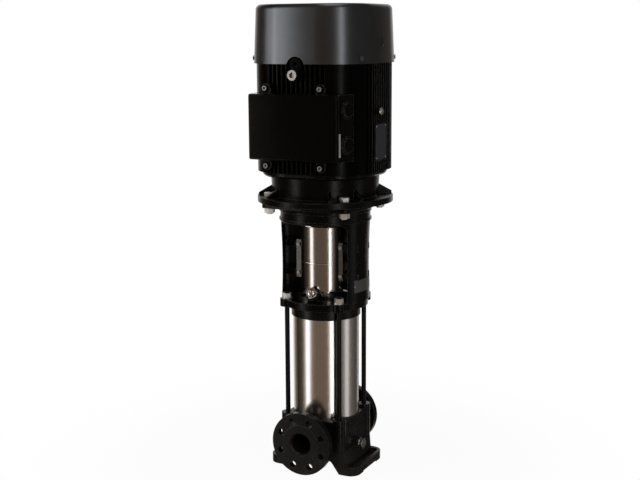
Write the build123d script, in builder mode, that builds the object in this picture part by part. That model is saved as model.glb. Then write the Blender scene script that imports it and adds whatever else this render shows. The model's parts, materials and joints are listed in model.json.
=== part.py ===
from build123d import *
import os
from math import cos, radians, sin, sqrt

# Vertical multistage in-line pump with a flange-mounted motor. Millimetres and degrees.
# The foot stands on Z = 0, the shaft turns about Z, the ports lie on Y and the terminal box faces -Y.

# Clearances
fit = 0.05  # radial room of a located joint
running = 0.25  # radial room between a turning ring and a still one
seat_gap = 0.3  # room where two pieces only lie near each other
thread_room = 0.1  # radial room round a screw's shank in its hole

# Pump base
port_span = 300.0  # face to face
port_height = 90.0
port_bore = 26.0
port_mouth = 30.5
port_mouth_depth = 5.0
raised_face_radius = 51.0
raised_face_height = 2.0
flange_radius = 82.5
flange_thickness = 20.0
flange_bolt_circle = 125.0
flange_bolt_count = 8
flange_hole_radii = (9.0, 9.25)  # suction, discharge
neck_radius = 44.0
neck_flare = 10.0
base_top = 139.0
base_floor = 50.0
foot_length = 258.0  # along X
foot_width = 176.0  # along Y
foot_corner = 28.0
foot_height = 22.0
foot_pocket_width = 24.0
foot_pocket_floor = 13.0
foot_hole_radius = 6.75
foot_hole_x = 215.0
foot_hole_y = 130.0
arch_height = 32.0
arch_half_floor = 80.0
arch_half_top = 56.0
foot_relief = 3.0
skirt_half = 103.0
skirt_top = 58.0
side_recess = 4.0  # of the sides between the staybolt columns
column_boss_rise = 7.0
well_radius = 50.0  # inlet well under the first stage
well_wall = 8.0
channel_radius = 78.0  # outer wall of the discharge channel
inlet_tube_radius = 33.0
drain_height = 61.0
drain_boss_radius = 17.0
drain_boss_length = 5.0
plug_shank_radius = 8.0
plug_hex_across = 24.0
plug_head = 11.0
plug_shank = 16.0
gasket_thickness = 2.0

# Staybolts
staybolt_circle = 106.5  # radius
staybolt_radius = 6.25
staybolt_depth = 26.0
staybolt_over_nut = 4.0
column_radius = 17.0
washer_radius = 13.0
washer_thickness = 3.0
nut_across = 21.0
nut_height = 11.0

# Sleeve and stages
sleeve_radius = 87.0
sleeve_wall = 2.5
sleeve_insert = 6.0  # depth hidden in base and head
o_ring_radius = 1.5
stage_count = 6
stage_pitch = 45.0
stack_bottom = 127.0
stage_radius = 69.0
stage_wall = 3.0
impeller_radius = 56.0
impeller_vanes = 6
diffuser_vanes = 7
eye_radius = 31.0
eye_wall = 2.0
shroud = 2.5
vane_height = 10.0
vane_width = 2.4
neck_ring_wall = 4.5
top_chamber_height = 27.0
strap_width = 14.0
strap_thickness = 2.0

# Pump shaft, seal and coupling
pump_shaft_radius = 11.0
pump_shaft_bottom = 104.0
hub_radius = 16.0
head_rim_radius = 91.0
head_rim_height = 28.2
head_deck_rise = 21.0
head_room = 9.8  # from the last stage to the head's lower rim
seal_bore = 32.0
seal_cover_flange = 46.0
seal_cover_height = 8.0
seal_seat_radius = 21.0
coupling_radius = 39.0
coupling_bottom = 520.0
coupling_height = 120.0
coupling_slot = 2.0
coupling_screw_radius = 4.0
coupling_pin_radius = 2.5
shaft_end_gap = 12.0

# Motor stool
stool_height = 274.0
stool_flange = 20.0
stool_flange_radius = 111.0
stool_bore = 78.0
stool_waist = 113.0
stool_shoulder = 117.0
stool_wall = 9.0
window_half_width = 94.0
window_height = 202.0
window_corner = 14.0
stool_top_plate = 13.0
guard_lug_height = 16.0
guard_lug_heights = (517.0, 592.0)
slot_height = 550.0

# Coupling guards
guard_bulge = 66.0
guard_sheet = 1.2
guard_wing = 67.0
guard_plane = 35.0
guard_bottom = 478.0
guard_height = 167.0
guard_wing_bottom = 505.0
guard_wing_height = 100.0
guard_screw_radius = 2.5

# Motor
motor_flange_radius = 175.0
motor_flange_thickness = 15.5
motor_bolt_circle = motor_flange_radius - 25  # radius
motor_bolt_radius = 8.0
motor_hole_radius = 9.25
motor_bolt_across = 24.0
motor_bolt_head = 10.0
motor_nut_height = 13.0
spigot_radius = 125.0
spigot_depth = 5.0
shield_neck = motor_flange_radius - 38
shield_neck_wall = 14.0
shield_height = 81.0  # flange face to housing
housing_half = 156.5
shield_rim_half = housing_half - 10.5
shield_rim_corner = shield_rim_half - 39
shield_rim_height = 13.0
shield_rib_width = 7.0
shaft_radius = 21.0
shaft_extension = 110.0
bearing_bore = 22.5
bearing_outside = 50.0
bearing_width = 25.0
ball_radius = 8.5
ball_count = 8
housing_corner = housing_half - 44
housing_height = 295.0
housing_bore = housing_half - 44.5
housing_step = 4.0
fin_field = 80.0  # half width of the finned band on each face
fin_pitch = 13.0
fin_thickness = 4.5
fin_depth = 20.0
core_length = 160.0
core_bottom_room = 60.0  # housing foot to stator core
rotor_radius = housing_bore - 40.6
air_gap = 0.6
winding_height = 34.0
fan_radius = housing_half - 34.5
fan_blades = 7
fan_blade_width = 34.0
fan_shaft_radius = 19.0

# Fan cover
cover_half = housing_half + 3
cover_corner = cover_half - 53
cover_height = 144.0
cover_taper = 6.5
cover_wall = 2.6
cover_round = 13.0
cover_seat_room = 25.0  # housing top above the cover's lower edge
notch_radius = 25.0
notch_depth = 18.0
grille_rings = 5
grille_spokes = 12
grille_inner = 28.0
grille_pitch = 16.0
grille_slot = 9.0
grille_spoke_width = 7.0
cover_screw_angle = 26.0
cover_screw_height = 13.0
cover_screw_radius = 3.0
dimple_radius = 12.5
dimple_height = 50.0
dimple_depth = 1.2

# Terminal box
box_half_front = housing_half - 34.5
box_half_back = housing_half - 20
box_face = housing_half + 23.5  # outer face of the lid
box_lid = 12.0
box_gasket = 1.5
box_back = housing_half - 54
box_bottom = 826.0
box_height = 162.0
box_wall = 6.0
box_corner = 9.0
box_screw_x = 75.0
box_screw_out = 14.0
box_lug_radius = 11.0
box_screw_radius = 3.0
box_screw_head = 6.0
pad_plane = housing_half - 14.5  # machined pad for the terminal board
entry_radius = 22.5
entry_offset = 18.5 - housing_half
entry_heights = (41.0, 126.0)  # above the box's lower edge
board_length = 90.0
board_height = 60.0
stud_radius = 3.0
lifting_height = 1034.0
lifting_head = 12.5
notch_boss_rise = 26.0
notch_boss_radius = 15.0

# Levels that follow from the sizes above
body_half = staybolt_circle / sqrt(2) + column_radius
sleeve_bottom = base_top - sleeve_insert
stack_top = stack_bottom + stage_count * stage_pitch
head_bottom = stack_top + head_room
sleeve_top = head_bottom + sleeve_insert
stool_bottom = head_bottom + head_rim_height
stool_deck = stool_bottom + stool_flange
motor_seat = stool_bottom + stool_height
head_ceiling = stack_top + top_chamber_height
head_deck = stool_bottom + head_deck_rise
seal_level = head_deck + 6.0
window_bottom = stool_deck
plate_bottom = motor_seat - stool_top_plate
flange_top = motor_seat + motor_flange_thickness
housing_bottom = motor_seat + shield_height
housing_top = housing_bottom + housing_height
cover_bottom = housing_top - cover_seat_room
cover_top = cover_bottom + cover_height
shaft_end = motor_seat - shaft_extension
pump_shaft_top = shaft_end - shaft_end_gap
core_bottom = housing_bottom + core_bottom_room
core_top = core_bottom + core_length
drive_bearing = flange_top + 22.0
fan_bearing = housing_top - bearing_width - 3.0
fan_bottom = housing_top + 30.0
impeller_radius_in = 22.0
gasket_plane = box_face - box_lid
box_front = gasket_plane - box_gasket


def finish(part, name):
    """Label a piece and write it out."""
    part.label = name
    export_step(part, f"parts/{name}.step")


def ring(inner, outer, bottom, height):
    """Add a plain ring about Z."""
    with BuildSketch(Plane.XY.offset(bottom)) as outline:
        Circle(outer)
        Circle(inner, mode=Mode.SUBTRACT)
    extrude(outline.sketch, amount=height)


def bore(radius, bottom, height):
    """Cut a round hole about Z."""
    with BuildSketch(Plane.XY.offset(bottom)) as outline:
        Circle(radius)
    extrude(outline.sketch, amount=height, mode=Mode.SUBTRACT)


def side_plane(x, y, z, direction):
    """A plane at a point, looking along a horizontal direction, with its own Y axis upwards."""
    out = Vector(*direction).normalized()
    return Plane(origin=(x, y, z), x_dir=Vector(-out.Y, out.X, 0), z_dir=out)


os.makedirs("parts", exist_ok=True)

# ---- Pump base -------------------------------------------------------------------------------------------

port_planes = [side_plane(0, side * port_span / 2, port_height, (0, -side, 0)) for side in (-1, 1)]

with BuildPart() as pump_base:
    with BuildSketch():
        RectangleRounded(foot_length, foot_width, foot_corner)
    extrude(amount=foot_height)
    with BuildSketch(Plane.XY.offset(foot_height * 0.7)):
        RectangleRounded(2 * skirt_half, foot_width - 4, foot_corner)
    with BuildSketch(Plane.XY.offset(skirt_top)):
        RectangleRounded(2 * body_half, 2 * body_half, column_radius)
    loft()
    with BuildSketch(Plane.XY.offset(skirt_top)):
        RectangleRounded(2 * body_half - 2 * side_recess, 2 * body_half - 2 * side_recess, column_radius)
    extrude(amount=base_top - skirt_top)
    with BuildSketch(Plane.XY.offset(skirt_top)):
        with PolarLocations(staybolt_circle, 4, 45):
            Circle(column_radius)
    extrude(amount=base_top + column_boss_rise - skirt_top)
    # Necks and flanges
    for plane in port_planes:
        with BuildSketch(plane.offset(raised_face_height)):
            Circle(flange_radius)
        extrude(amount=flange_thickness - raised_face_height)
        with BuildSketch(plane):
            Circle(raised_face_radius)
        extrude(amount=raised_face_height)
        with BuildSketch(plane.offset(flange_thickness)):
            Circle(neck_radius)
        with BuildSketch(plane.offset(port_span / 2 - body_half + side_recess + 2)):
            Circle(neck_radius + neck_flare)
        loft()
    # Discharge channel round the inlet well
    bore(channel_radius, base_floor, base_top + column_boss_rise - base_floor)
    ring(well_radius, well_radius + well_wall, base_floor, stack_bottom - base_floor)
    with BuildSketch(port_planes[0].offset(port_span / 2 - channel_radius - 4)):
        Circle(inlet_tube_radius)
    extrude(amount=channel_radius + 4 - well_radius - 2)
    bore(well_radius, base_floor, stack_bottom - base_floor)
    # Port bores: the inlet runs into the well, the outlet stops at the channel
    with BuildSketch(port_planes[0]):
        Circle(port_bore)
    extrude(amount=port_span / 2 - well_radius + well_wall, mode=Mode.SUBTRACT)
    with BuildSketch(port_planes[1]):
        Circle(port_bore)
    extrude(amount=port_span / 2 - well_radius - well_wall - 2, mode=Mode.SUBTRACT)
    for plane, hole_radius in zip(port_planes, flange_hole_radii):
        with BuildSketch(plane):
            Circle(port_mouth)
        with BuildSketch(plane.offset(port_mouth_depth)):
            Circle(port_bore)
        loft(mode=Mode.SUBTRACT)
        with BuildSketch(plane):
            with PolarLocations(flange_bolt_circle / 2, flange_bolt_count, 180 / flange_bolt_count):
                Circle(hole_radius)
        extrude(amount=flange_thickness, mode=Mode.SUBTRACT)
    # Groove for the sleeve and its ring
    with BuildSketch(Plane.XY.offset(sleeve_bottom - 2 * o_ring_radius)):
        Circle(sleeve_radius + seat_gap)
        Circle(sleeve_radius - sleeve_wall - seat_gap, mode=Mode.SUBTRACT)
    extrude(amount=sleeve_insert + 2 * o_ring_radius + column_boss_rise, mode=Mode.SUBTRACT)
    # Blind threaded holes for the staybolts
    with BuildSketch(Plane.XY.offset(base_top + column_boss_rise - staybolt_depth)):
        with PolarLocations(staybolt_circle, 4, 45):
            Circle(staybolt_radius + thread_room)
    extrude(amount=staybolt_depth, mode=Mode.SUBTRACT)
    # Drain boss and its hole
    drain_plane = side_plane(body_half, 0, drain_height, (1, 0, 0))
    with BuildSketch(drain_plane.offset(-6)):
        Circle(drain_boss_radius)
    extrude(amount=drain_boss_length + 6)
    with BuildSketch(drain_plane.offset(drain_boss_length)):
        Circle(plug_shank_radius + thread_room)
    extrude(amount=channel_radius - body_half - drain_boss_length - 4, mode=Mode.SUBTRACT)
    # Feet: pockets round the holes, an arch between the two feet and a relief under each
    with BuildSketch(Plane.XY.offset(foot_pocket_floor)):
        with Locations((-foot_hole_x / 2, 0), (foot_hole_x / 2, 0)):
            SlotCenterToCenter(foot_hole_y, foot_pocket_width, rotation=90)
    extrude(amount=foot_height - foot_pocket_floor + 1, mode=Mode.SUBTRACT)
    with BuildSketch():
        with GridLocations(foot_hole_x, foot_hole_y, 2, 2):
            Circle(foot_hole_radius)
    extrude(amount=foot_height, mode=Mode.SUBTRACT)
    with BuildSketch(Plane.XZ.offset(-body_half - 2)):
        with BuildLine():
            Polyline(
                (-arch_half_floor, 0),
                (-arch_half_top, arch_height),
                (arch_half_top, arch_height),
                (arch_half_floor, 0),
                close=True,
            )
        make_face()
    extrude(amount=2 * body_half + 4, mode=Mode.SUBTRACT)
    with BuildSketch():
        with Locations((-foot_length / 2, 0), (foot_length / 2, 0)):
            Rectangle(foot_length - 2 * arch_half_floor + 10, foot_hole_y - 50)
    extrude(amount=foot_relief, mode=Mode.SUBTRACT)
finish(pump_base.part, "pump_base")

# ---- Plugs and gaskets -----------------------------------------------------------------------------------

drain_face = drain_plane.offset(drain_boss_length + gasket_thickness)
prime_tilt = 55.0
prime_root = 55.0
prime_boss_length = 26.0
prime_boss_radius = 19.0
prime_direction = (0, -sin(radians(prime_tilt)), cos(radians(prime_tilt)))
prime_plane = Plane(origin=(0, -prime_root, head_deck + 2), x_dir=(1, 0, 0), z_dir=prime_direction)
prime_face = prime_plane.offset(prime_boss_length + gasket_thickness)


def plug(face, name):
    """A hexagon plug: head outwards from its gasket, shank inwards."""
    with BuildPart() as piece:
        with BuildSketch(face):
            Circle(plug_hex_across / 2 + 2)
        extrude(amount=2)
        with BuildSketch(face.offset(2)):
            RegularPolygon(plug_hex_across / 2, 6, major_radius=False)
        extrude(amount=plug_head - 2)
        with BuildSketch(face):
            Circle(plug_shank_radius)
        extrude(amount=-plug_shank)
    finish(piece.part, name)


plug(drain_face, "drain_plug")
plug(prime_face, "priming_plug")

with BuildPart() as plug_gaskets:
    for face in (drain_face, prime_face):
        with BuildSketch(face):
            Circle(plug_hex_across / 2 + 1)
            Circle(plug_shank_radius + thread_room, mode=Mode.SUBTRACT)
        extrude(amount=-gasket_thickness)
finish(plug_gaskets.part, "plug_gaskets")

# ---- Sleeve, O-rings and staybolts -----------------------------------------------------------------------

with BuildPart() as outer_sleeve:
    ring(sleeve_radius - sleeve_wall, sleeve_radius, sleeve_bottom, sleeve_top - sleeve_bottom)
finish(outer_sleeve.part, "outer_sleeve")

with BuildPart() as sleeve_o_rings:
    for level in (sleeve_bottom - o_ring_radius, sleeve_top + o_ring_radius):
        with BuildSketch(Plane.XZ):
            with Locations((sleeve_radius - sleeve_wall / 2, level)):
                Circle(o_ring_radius)
        revolve(axis=Axis.Z)
finish(sleeve_o_rings.part, "sleeve_o_rings")

staybolt_bottom = base_top + column_boss_rise - staybolt_depth
nut_bottom = stool_deck + washer_thickness
staybolt_top = nut_bottom + nut_height + staybolt_over_nut

with BuildPart() as staybolts:
    with BuildSketch(Plane.XY.offset(staybolt_bottom)):
        with PolarLocations(staybolt_circle, 4, 45):
            Circle(staybolt_radius)
    extrude(amount=staybolt_top - staybolt_bottom)
    chamfer(staybolts.faces().sort_by(Axis.Z)[-4:].edges(), 1)
finish(staybolts.part, "staybolts")

with BuildPart() as staybolt_washers:
    with BuildSketch(Plane.XY.offset(stool_deck)):
        with PolarLocations(staybolt_circle, 4, 45):
            Circle(washer_radius)
            Circle(staybolt_radius + thread_room, mode=Mode.SUBTRACT)
    extrude(amount=washer_thickness)
finish(staybolt_washers.part, "staybolt_washers")

with BuildPart() as staybolt_nuts:
    with BuildSketch(Plane.XY.offset(nut_bottom)):
        with PolarLocations(staybolt_circle, 4, 45):
            RegularPolygon(nut_across / 2, 6, major_radius=False)
            Circle(staybolt_radius + thread_room, mode=Mode.SUBTRACT)
    extrude(amount=nut_height)
finish(staybolt_nuts.part, "staybolt_nuts")

# ---- Pump head -------------------------------------------------------------------------------------------

with BuildPart() as pump_head:
    with BuildSketch(Plane.XZ):
        with BuildLine():
            Polyline(
                (stage_radius + 3, head_bottom),
                (head_rim_radius, head_bottom),
                (head_rim_radius, stool_bottom),
                (stool_bore - fit, stool_bottom),
                (stool_bore - fit, head_deck),
                (seal_cover_flange + 6, head_deck),
                (seal_cover_flange + 4, seal_level),
                (seal_bore, seal_level),
                (seal_bore, head_ceiling),
                (stage_radius + 3, head_ceiling),
                close=True,
            )
        make_face()
    revolve(axis=Axis.Z)
    with BuildSketch(prime_plane):
        Circle(prime_boss_radius)
    extrude(amount=prime_boss_length)
    bore(seal_bore, head_ceiling, seal_level - head_ceiling + 20)
    with BuildSketch(prime_face):
        Circle(plug_shank_radius + thread_room)
    extrude(amount=-plug_shank - gasket_thickness - 6, mode=Mode.SUBTRACT)
    with BuildSketch(Plane.XY.offset(head_bottom)):
        Circle(sleeve_radius + seat_gap)
        Circle(sleeve_radius - sleeve_wall - seat_gap, mode=Mode.SUBTRACT)
    extrude(amount=sleeve_insert + 2 * o_ring_radius, mode=Mode.SUBTRACT)
    # Diagonal ribs from the seal housing to the rim
    for angle in (215, 325, 35, 145):
        rib_length = stool_bore - 6 - seal_cover_flange
        with BuildSketch(Plane.XY.offset(head_deck)):
            with PolarLocations(seal_cover_flange + rib_length / 2, 1, angle):
                Rectangle(rib_length, 7)
        extrude(amount=5)
finish(pump_head.part, "pump_head")

# ---- Stages ----------------------------------------------------------------------------------------------


def vane_sketch(plane, inner, outer, sweep, count):
    """Curved blades between two radii, turned by a sweep angle from inner to outer end."""
    middle = (inner + outer) / 2
    half = radians(sweep / 2)
    end = radians(sweep)
    with BuildSketch() as blade:
        with BuildLine():
            ThreePointArc(
                (inner, 0),
                (middle * cos(half * 1.25), middle * sin(half * 1.25)),
                (outer * cos(end), outer * sin(end)),
            )
        trace(line_width=vane_width)
    with BuildSketch(plane) as fan_of_blades:
        with PolarLocations(0, count):
            add(blade.sketch)
    return fan_of_blades


impeller_bottom = 1.0  # eye above the stage floor
front_shroud = 8.0
vane_bottom = front_shroud + shroud
back_shroud = vane_bottom + vane_height
impeller_top = back_shroud + shroud + 3.0
diffuser_plate = impeller_top + 1.0

for number in range(1, stage_count + 1):
    level = stack_bottom + (number - 1) * stage_pitch

    with BuildPart() as chamber:
        ring(stage_radius - stage_wall, stage_radius, level, stage_pitch)
        ring(eye_radius + running + neck_ring_wall, stage_radius, level, stage_wall)
        ring(hub_radius + 2, stage_radius - 8, level + diffuser_plate, stage_wall)
        blades = vane_sketch(
            Plane.XY.offset(level + diffuser_plate + 1),
            hub_radius + 8,
            stage_radius - stage_wall / 2,
            -50,
            diffuser_vanes,
        )
        extrude(blades.sketch, amount=stage_pitch - diffuser_plate - 1)
    finish(chamber.part, f"chamber_{number}")

    with BuildPart() as impeller:
        ring(eye_radius - eye_wall, eye_radius, level + impeller_bottom, front_shroud - impeller_bottom)
        ring(eye_radius - eye_wall, impeller_radius, level + front_shroud, shroud)
        ring(pump_shaft_radius + fit, impeller_radius, level + back_shroud, shroud)
        ring(pump_shaft_radius + fit, hub_radius, level + vane_bottom, impeller_top - vane_bottom)
        blades = vane_sketch(
            Plane.XY.offset(level + vane_bottom - 0.5),
            impeller_radius_in,
            impeller_radius - 1.5,
            70,
            impeller_vanes,
        )
        extrude(blades.sketch, amount=vane_height + 1)
    finish(impeller.part, f"impeller_{number}")

with BuildPart() as neck_rings:
    for number in range(stage_count):
        ring(
            eye_radius + running,
            eye_radius + running + neck_ring_wall,
            stack_bottom + number * stage_pitch,
            stage_wall + 1.5,
        )
finish(neck_rings.part, "neck_rings")

with BuildPart() as impeller_spacers:
    for number in range(stage_count - 1):
        level = stack_bottom + number * stage_pitch
        ring(
            pump_shaft_radius + fit,
            hub_radius - 2,
            level + impeller_top,
            stage_pitch - impeller_top + vane_bottom,
        )
finish(impeller_spacers.part, "impeller_spacers")

lock_nut_height = 12.0
last_hub = stack_top - stage_pitch + impeller_top
with BuildPart() as impeller_lock_nut:
    with BuildSketch(Plane.XY.offset(last_hub)):
        RegularPolygon(hub_radius - 2, 6, major_radius=False)
        Circle(pump_shaft_radius + fit, mode=Mode.SUBTRACT)
    extrude(amount=lock_nut_height)
finish(impeller_lock_nut.part, "impeller_lock_nut")

# Inlet part: a spider with the lower shaft bearing, standing in the mouth of the inlet well
inlet_drop = 10.0
with BuildPart() as inlet_part:
    ring(well_radius - 8, well_radius - fit, stack_bottom - inlet_drop, inlet_drop)
    ring(pump_shaft_radius + running, pump_shaft_radius + 8, stack_bottom - inlet_drop, inlet_drop - 1)
    with BuildSketch(Plane.XY.offset(stack_bottom - inlet_drop)):
        with PolarLocations((pump_shaft_radius + well_radius) / 2 - 1, 3):
            Rectangle(well_radius - pump_shaft_radius - 12, 5)
    extrude(amount=inlet_drop - 3)
finish(inlet_part.part, "inlet_part")

with BuildPart() as top_chamber:
    ring(stage_radius - 5, stage_radius, stack_top, top_chamber_height)
    ring(hub_radius + 6, stage_radius, stack_top, stage_wall)
    with BuildSketch(Plane.XY.offset(stack_top + stage_wall + 2)):
        with PolarLocations(stage_radius, 8):
            Rectangle(20, 32)
    extrude(amount=top_chamber_height - stage_wall - 6, mode=Mode.SUBTRACT)
finish(top_chamber.part, "top_chamber")

with BuildPart() as chamber_straps:
    with BuildSketch(Plane.XY.offset(stack_bottom + 2)):
        with PolarLocations(stage_radius + seat_gap + strap_thickness / 2, 2):
            Rectangle(strap_thickness, strap_width)
    extrude(amount=stack_top - stack_bottom)
finish(chamber_straps.part, "chamber_straps")

with BuildPart() as pump_shaft:
    with BuildSketch(Plane.XY.offset(pump_shaft_bottom)):
        Circle(pump_shaft_radius)
    extrude(amount=pump_shaft_top - pump_shaft_bottom)
    chamfer(pump_shaft.faces().sort_by(Axis.Z)[0].edges(), 1.5)
    chamfer(pump_shaft.faces().sort_by(Axis.Z)[-1].edges(), 1.5)
    pin_level = coupling_bottom + 30
    with BuildSketch(side_plane(0, 0, pin_level, (1, 0, 0))):
        Circle(coupling_pin_radius + fit)
    extrude(amount=pump_shaft_radius, both=True, mode=Mode.SUBTRACT)
finish(pump_shaft.part, "pump_shaft")

# ---- Shaft seal ------------------------------------------------------------------------------------------

seal_face = head_deck - 4
with BuildPart() as seal_cover:
    ring(seal_seat_radius + fit, seal_bore - fit, seal_face, seal_level - seal_face)
    ring(seal_seat_radius + fit, seal_cover_flange, seal_level, seal_cover_height)
    ring(
        pump_shaft_radius + 3,
        seal_cover_flange - 8,
        seal_level + seal_cover_height - 2,
        6,
    )
    with BuildSketch(Plane.XY.offset(seal_level)):
        with PolarLocations(seal_cover_flange - 4, 4, 45):
            Circle(2.6)
    extrude(amount=seal_cover_height, mode=Mode.SUBTRACT)
finish(seal_cover.part, "seal_cover")

seat_height = 8.0
with BuildPart() as seal_seat:
    ring(pump_shaft_radius + 2, seal_seat_radius, seal_face, seat_height)
finish(seal_seat.part, "seal_seat")

rotating_height = 26.0
with BuildPart() as rotating_seal:
    ring(
        pump_shaft_radius + fit,
        seal_seat_radius - 3,
        seal_face - thread_room - rotating_height,
        rotating_height,
    )
    ring(
        pump_shaft_radius + fit,
        seal_seat_radius,
        seal_face - thread_room - rotating_height,
        rotating_height * 0.4,
    )
finish(rotating_seal.part, "rotating_seal")

# ---- Coupling --------------------------------------------------------------------------------------------

screw_levels = (coupling_bottom + 16, coupling_bottom + 48, coupling_bottom + 76, coupling_bottom + 104)
screw_x = (coupling_radius + shaft_radius) / 2
screw_head_radius = coupling_screw_radius * 1.6
coupling_flat = coupling_radius * 0.62

with BuildPart() as coupling_halves:
    with BuildSketch(Plane.XY.offset(coupling_bottom)):
        Circle(coupling_radius)
    extrude(amount=coupling_height)
    chamfer(coupling_halves.edges().filter_by(GeomType.CIRCLE), 2)
    bore(pump_shaft_radius + fit, coupling_bottom, coupling_height)
    bore(
        shaft_radius + fit,
        pump_shaft_top - 2,
        coupling_bottom + coupling_height - pump_shaft_top + 2,
    )
    with BuildSketch(Plane.XY.offset(coupling_bottom)):
        Rectangle(2 * coupling_radius, coupling_slot)
    extrude(amount=coupling_height, mode=Mode.SUBTRACT)
    for level in screw_levels:
        for x in (-screw_x, screw_x):
            with BuildSketch(side_plane(x, 0, level, (0, 1, 0))):
                Circle(coupling_screw_radius + thread_room)
            extrude(amount=coupling_radius, both=True, mode=Mode.SUBTRACT)
            with BuildSketch(side_plane(x, -coupling_flat + 8, level, (0, -1, 0))):
                Circle(screw_head_radius + 0.5)
            extrude(amount=coupling_radius, mode=Mode.SUBTRACT)
    with BuildSketch(side_plane(0, 0, pin_level, (1, 0, 0))):
        Circle(coupling_pin_radius + fit)
    extrude(amount=coupling_radius - 8, both=True, mode=Mode.SUBTRACT)
finish(coupling_halves.part, "coupling_halves")

with BuildPart() as coupling_screws:
    for level in screw_levels:
        for x in (-screw_x, screw_x):
            head_plane = side_plane(x, -coupling_flat + 8, level, (0, -1, 0))
            with BuildSketch(head_plane):
                Circle(screw_head_radius)
            extrude(amount=2 * coupling_screw_radius)
            with BuildSketch(head_plane.offset(2 * coupling_screw_radius)):
                RegularPolygon(coupling_screw_radius * 0.8, 6, major_radius=False)
            extrude(amount=-coupling_screw_radius, mode=Mode.SUBTRACT)
            with BuildSketch(head_plane):
                Circle(coupling_screw_radius)
            extrude(amount=-coupling_flat - 6)
finish(coupling_screws.part, "coupling_screws")

with BuildPart() as coupling_pin:
    with BuildSketch(side_plane(0, 0, pin_level, (1, 0, 0))):
        Circle(coupling_pin_radius)
    extrude(amount=coupling_radius - 9, both=True)
finish(coupling_pin.part, "coupling_pin")

# ---- Motor stool -----------------------------------------------------------------------------------------

shoulder_level = plate_bottom - 28
lug_half_depth = guard_plane - guard_sheet
lug_inner = guard_wing - 12
with BuildPart() as motor_stool:
    # Lower flange with its four staybolt lugs
    with BuildSketch(Plane.XY.offset(stool_bottom)):
        Circle(stool_flange_radius)
        with PolarLocations(staybolt_circle, 4, 45):
            Circle(column_radius + 1)
    extrude(amount=stool_flange)
    # Waisted wall
    with BuildSketch(Plane.XZ):
        with BuildLine():
            ThreePointArc(
                (stool_waist + 2.5, stool_deck - 2),
                (stool_waist, (stool_deck + shoulder_level) / 2 - 10),
                (stool_shoulder, shoulder_level),
            )
            Polyline(
                (stool_shoulder, shoulder_level),
                (stool_shoulder, plate_bottom - 14),
                (spigot_radius - 2, plate_bottom),
                (spigot_radius - 2, plate_bottom + 3),
                (stool_waist - stool_wall, plate_bottom + 3),
                (stool_waist - stool_wall, stool_deck - 2),
                (stool_waist + 2.5, stool_deck - 2),
            )
        make_face()
    revolve(axis=Axis.Z)
    for level in (window_bottom + window_height + 3, plate_bottom - 12):
        ring(stool_shoulder - 2, stool_shoulder + 3, level, 5)
    # Top plate, pulled out to the four motor bolts
    with BuildSketch(Plane.XY.offset(plate_bottom)):
        Circle(spigot_radius + 6)
        with PolarLocations(motor_bolt_circle, 4, 45):
            Circle(motor_hole_radius + 10)
        make_hull()
    extrude(amount=stool_top_plate)
    bore(stool_bore, stool_bottom, stool_flange)
    bore(stool_waist - stool_wall, stool_deck, motor_seat - stool_deck)
    bore(spigot_radius + fit, motor_seat - spigot_depth - seat_gap, spigot_depth + seat_gap)
    # One window in front and one behind
    with BuildSketch(Plane.XZ.offset(-stool_flange_radius - 20)):
        with Locations((0, window_bottom + window_height / 2)):
            RectangleRounded(2 * window_half_width, window_height, window_corner)
        with Locations((0, window_bottom + window_height / 4)):
            Rectangle(2 * window_half_width, window_height / 2)
    extrude(amount=2 * stool_flange_radius + 40, mode=Mode.SUBTRACT)
    # Room for the priming plug's boss
    with BuildSketch(prime_plane):
        Circle(prime_boss_radius + 1)
    extrude(amount=2 * prime_boss_length, mode=Mode.SUBTRACT)
    # Lugs that carry the coupling guards
    for level in guard_lug_heights:
        for side in (-1, 1):
            with BuildSketch(Plane.XY.offset(level - guard_lug_height / 2)):
                with Locations((side * (lug_inner + stool_waist - 3) / 2, 0)):
                    Rectangle(stool_waist - 3 - lug_inner, 2 * lug_half_depth)
            extrude(amount=guard_lug_height)
    # Holes: staybolts, motor bolts, guard screws and the leakage slot in each column
    with BuildSketch(Plane.XY.offset(stool_bottom)):
        with PolarLocations(staybolt_circle, 4, 45):
            Circle(staybolt_radius + 0.75)
    extrude(amount=stool_flange + 2, mode=Mode.SUBTRACT)
    with BuildSketch(Plane.XY.offset(plate_bottom)):
        with PolarLocations(motor_bolt_circle, 4, 45):
            Circle(motor_hole_radius)
    extrude(amount=stool_top_plate, mode=Mode.SUBTRACT)
    for level in guard_lug_heights:
        for side in (-1, 1):
            with BuildSketch(side_plane(side * (guard_wing - 6), 0, level, (0, 1, 0))):
                Circle(guard_screw_radius + thread_room)
            extrude(amount=lug_half_depth, both=True, mode=Mode.SUBTRACT)
    with BuildSketch(side_plane(stool_waist - 30, -29, slot_height, (1, 0, 0))):
        SlotOverall(20, 5)
    extrude(amount=60, mode=Mode.SUBTRACT)
finish(motor_stool.part, "motor_stool")

# ---- Coupling guards -------------------------------------------------------------------------------------

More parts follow.
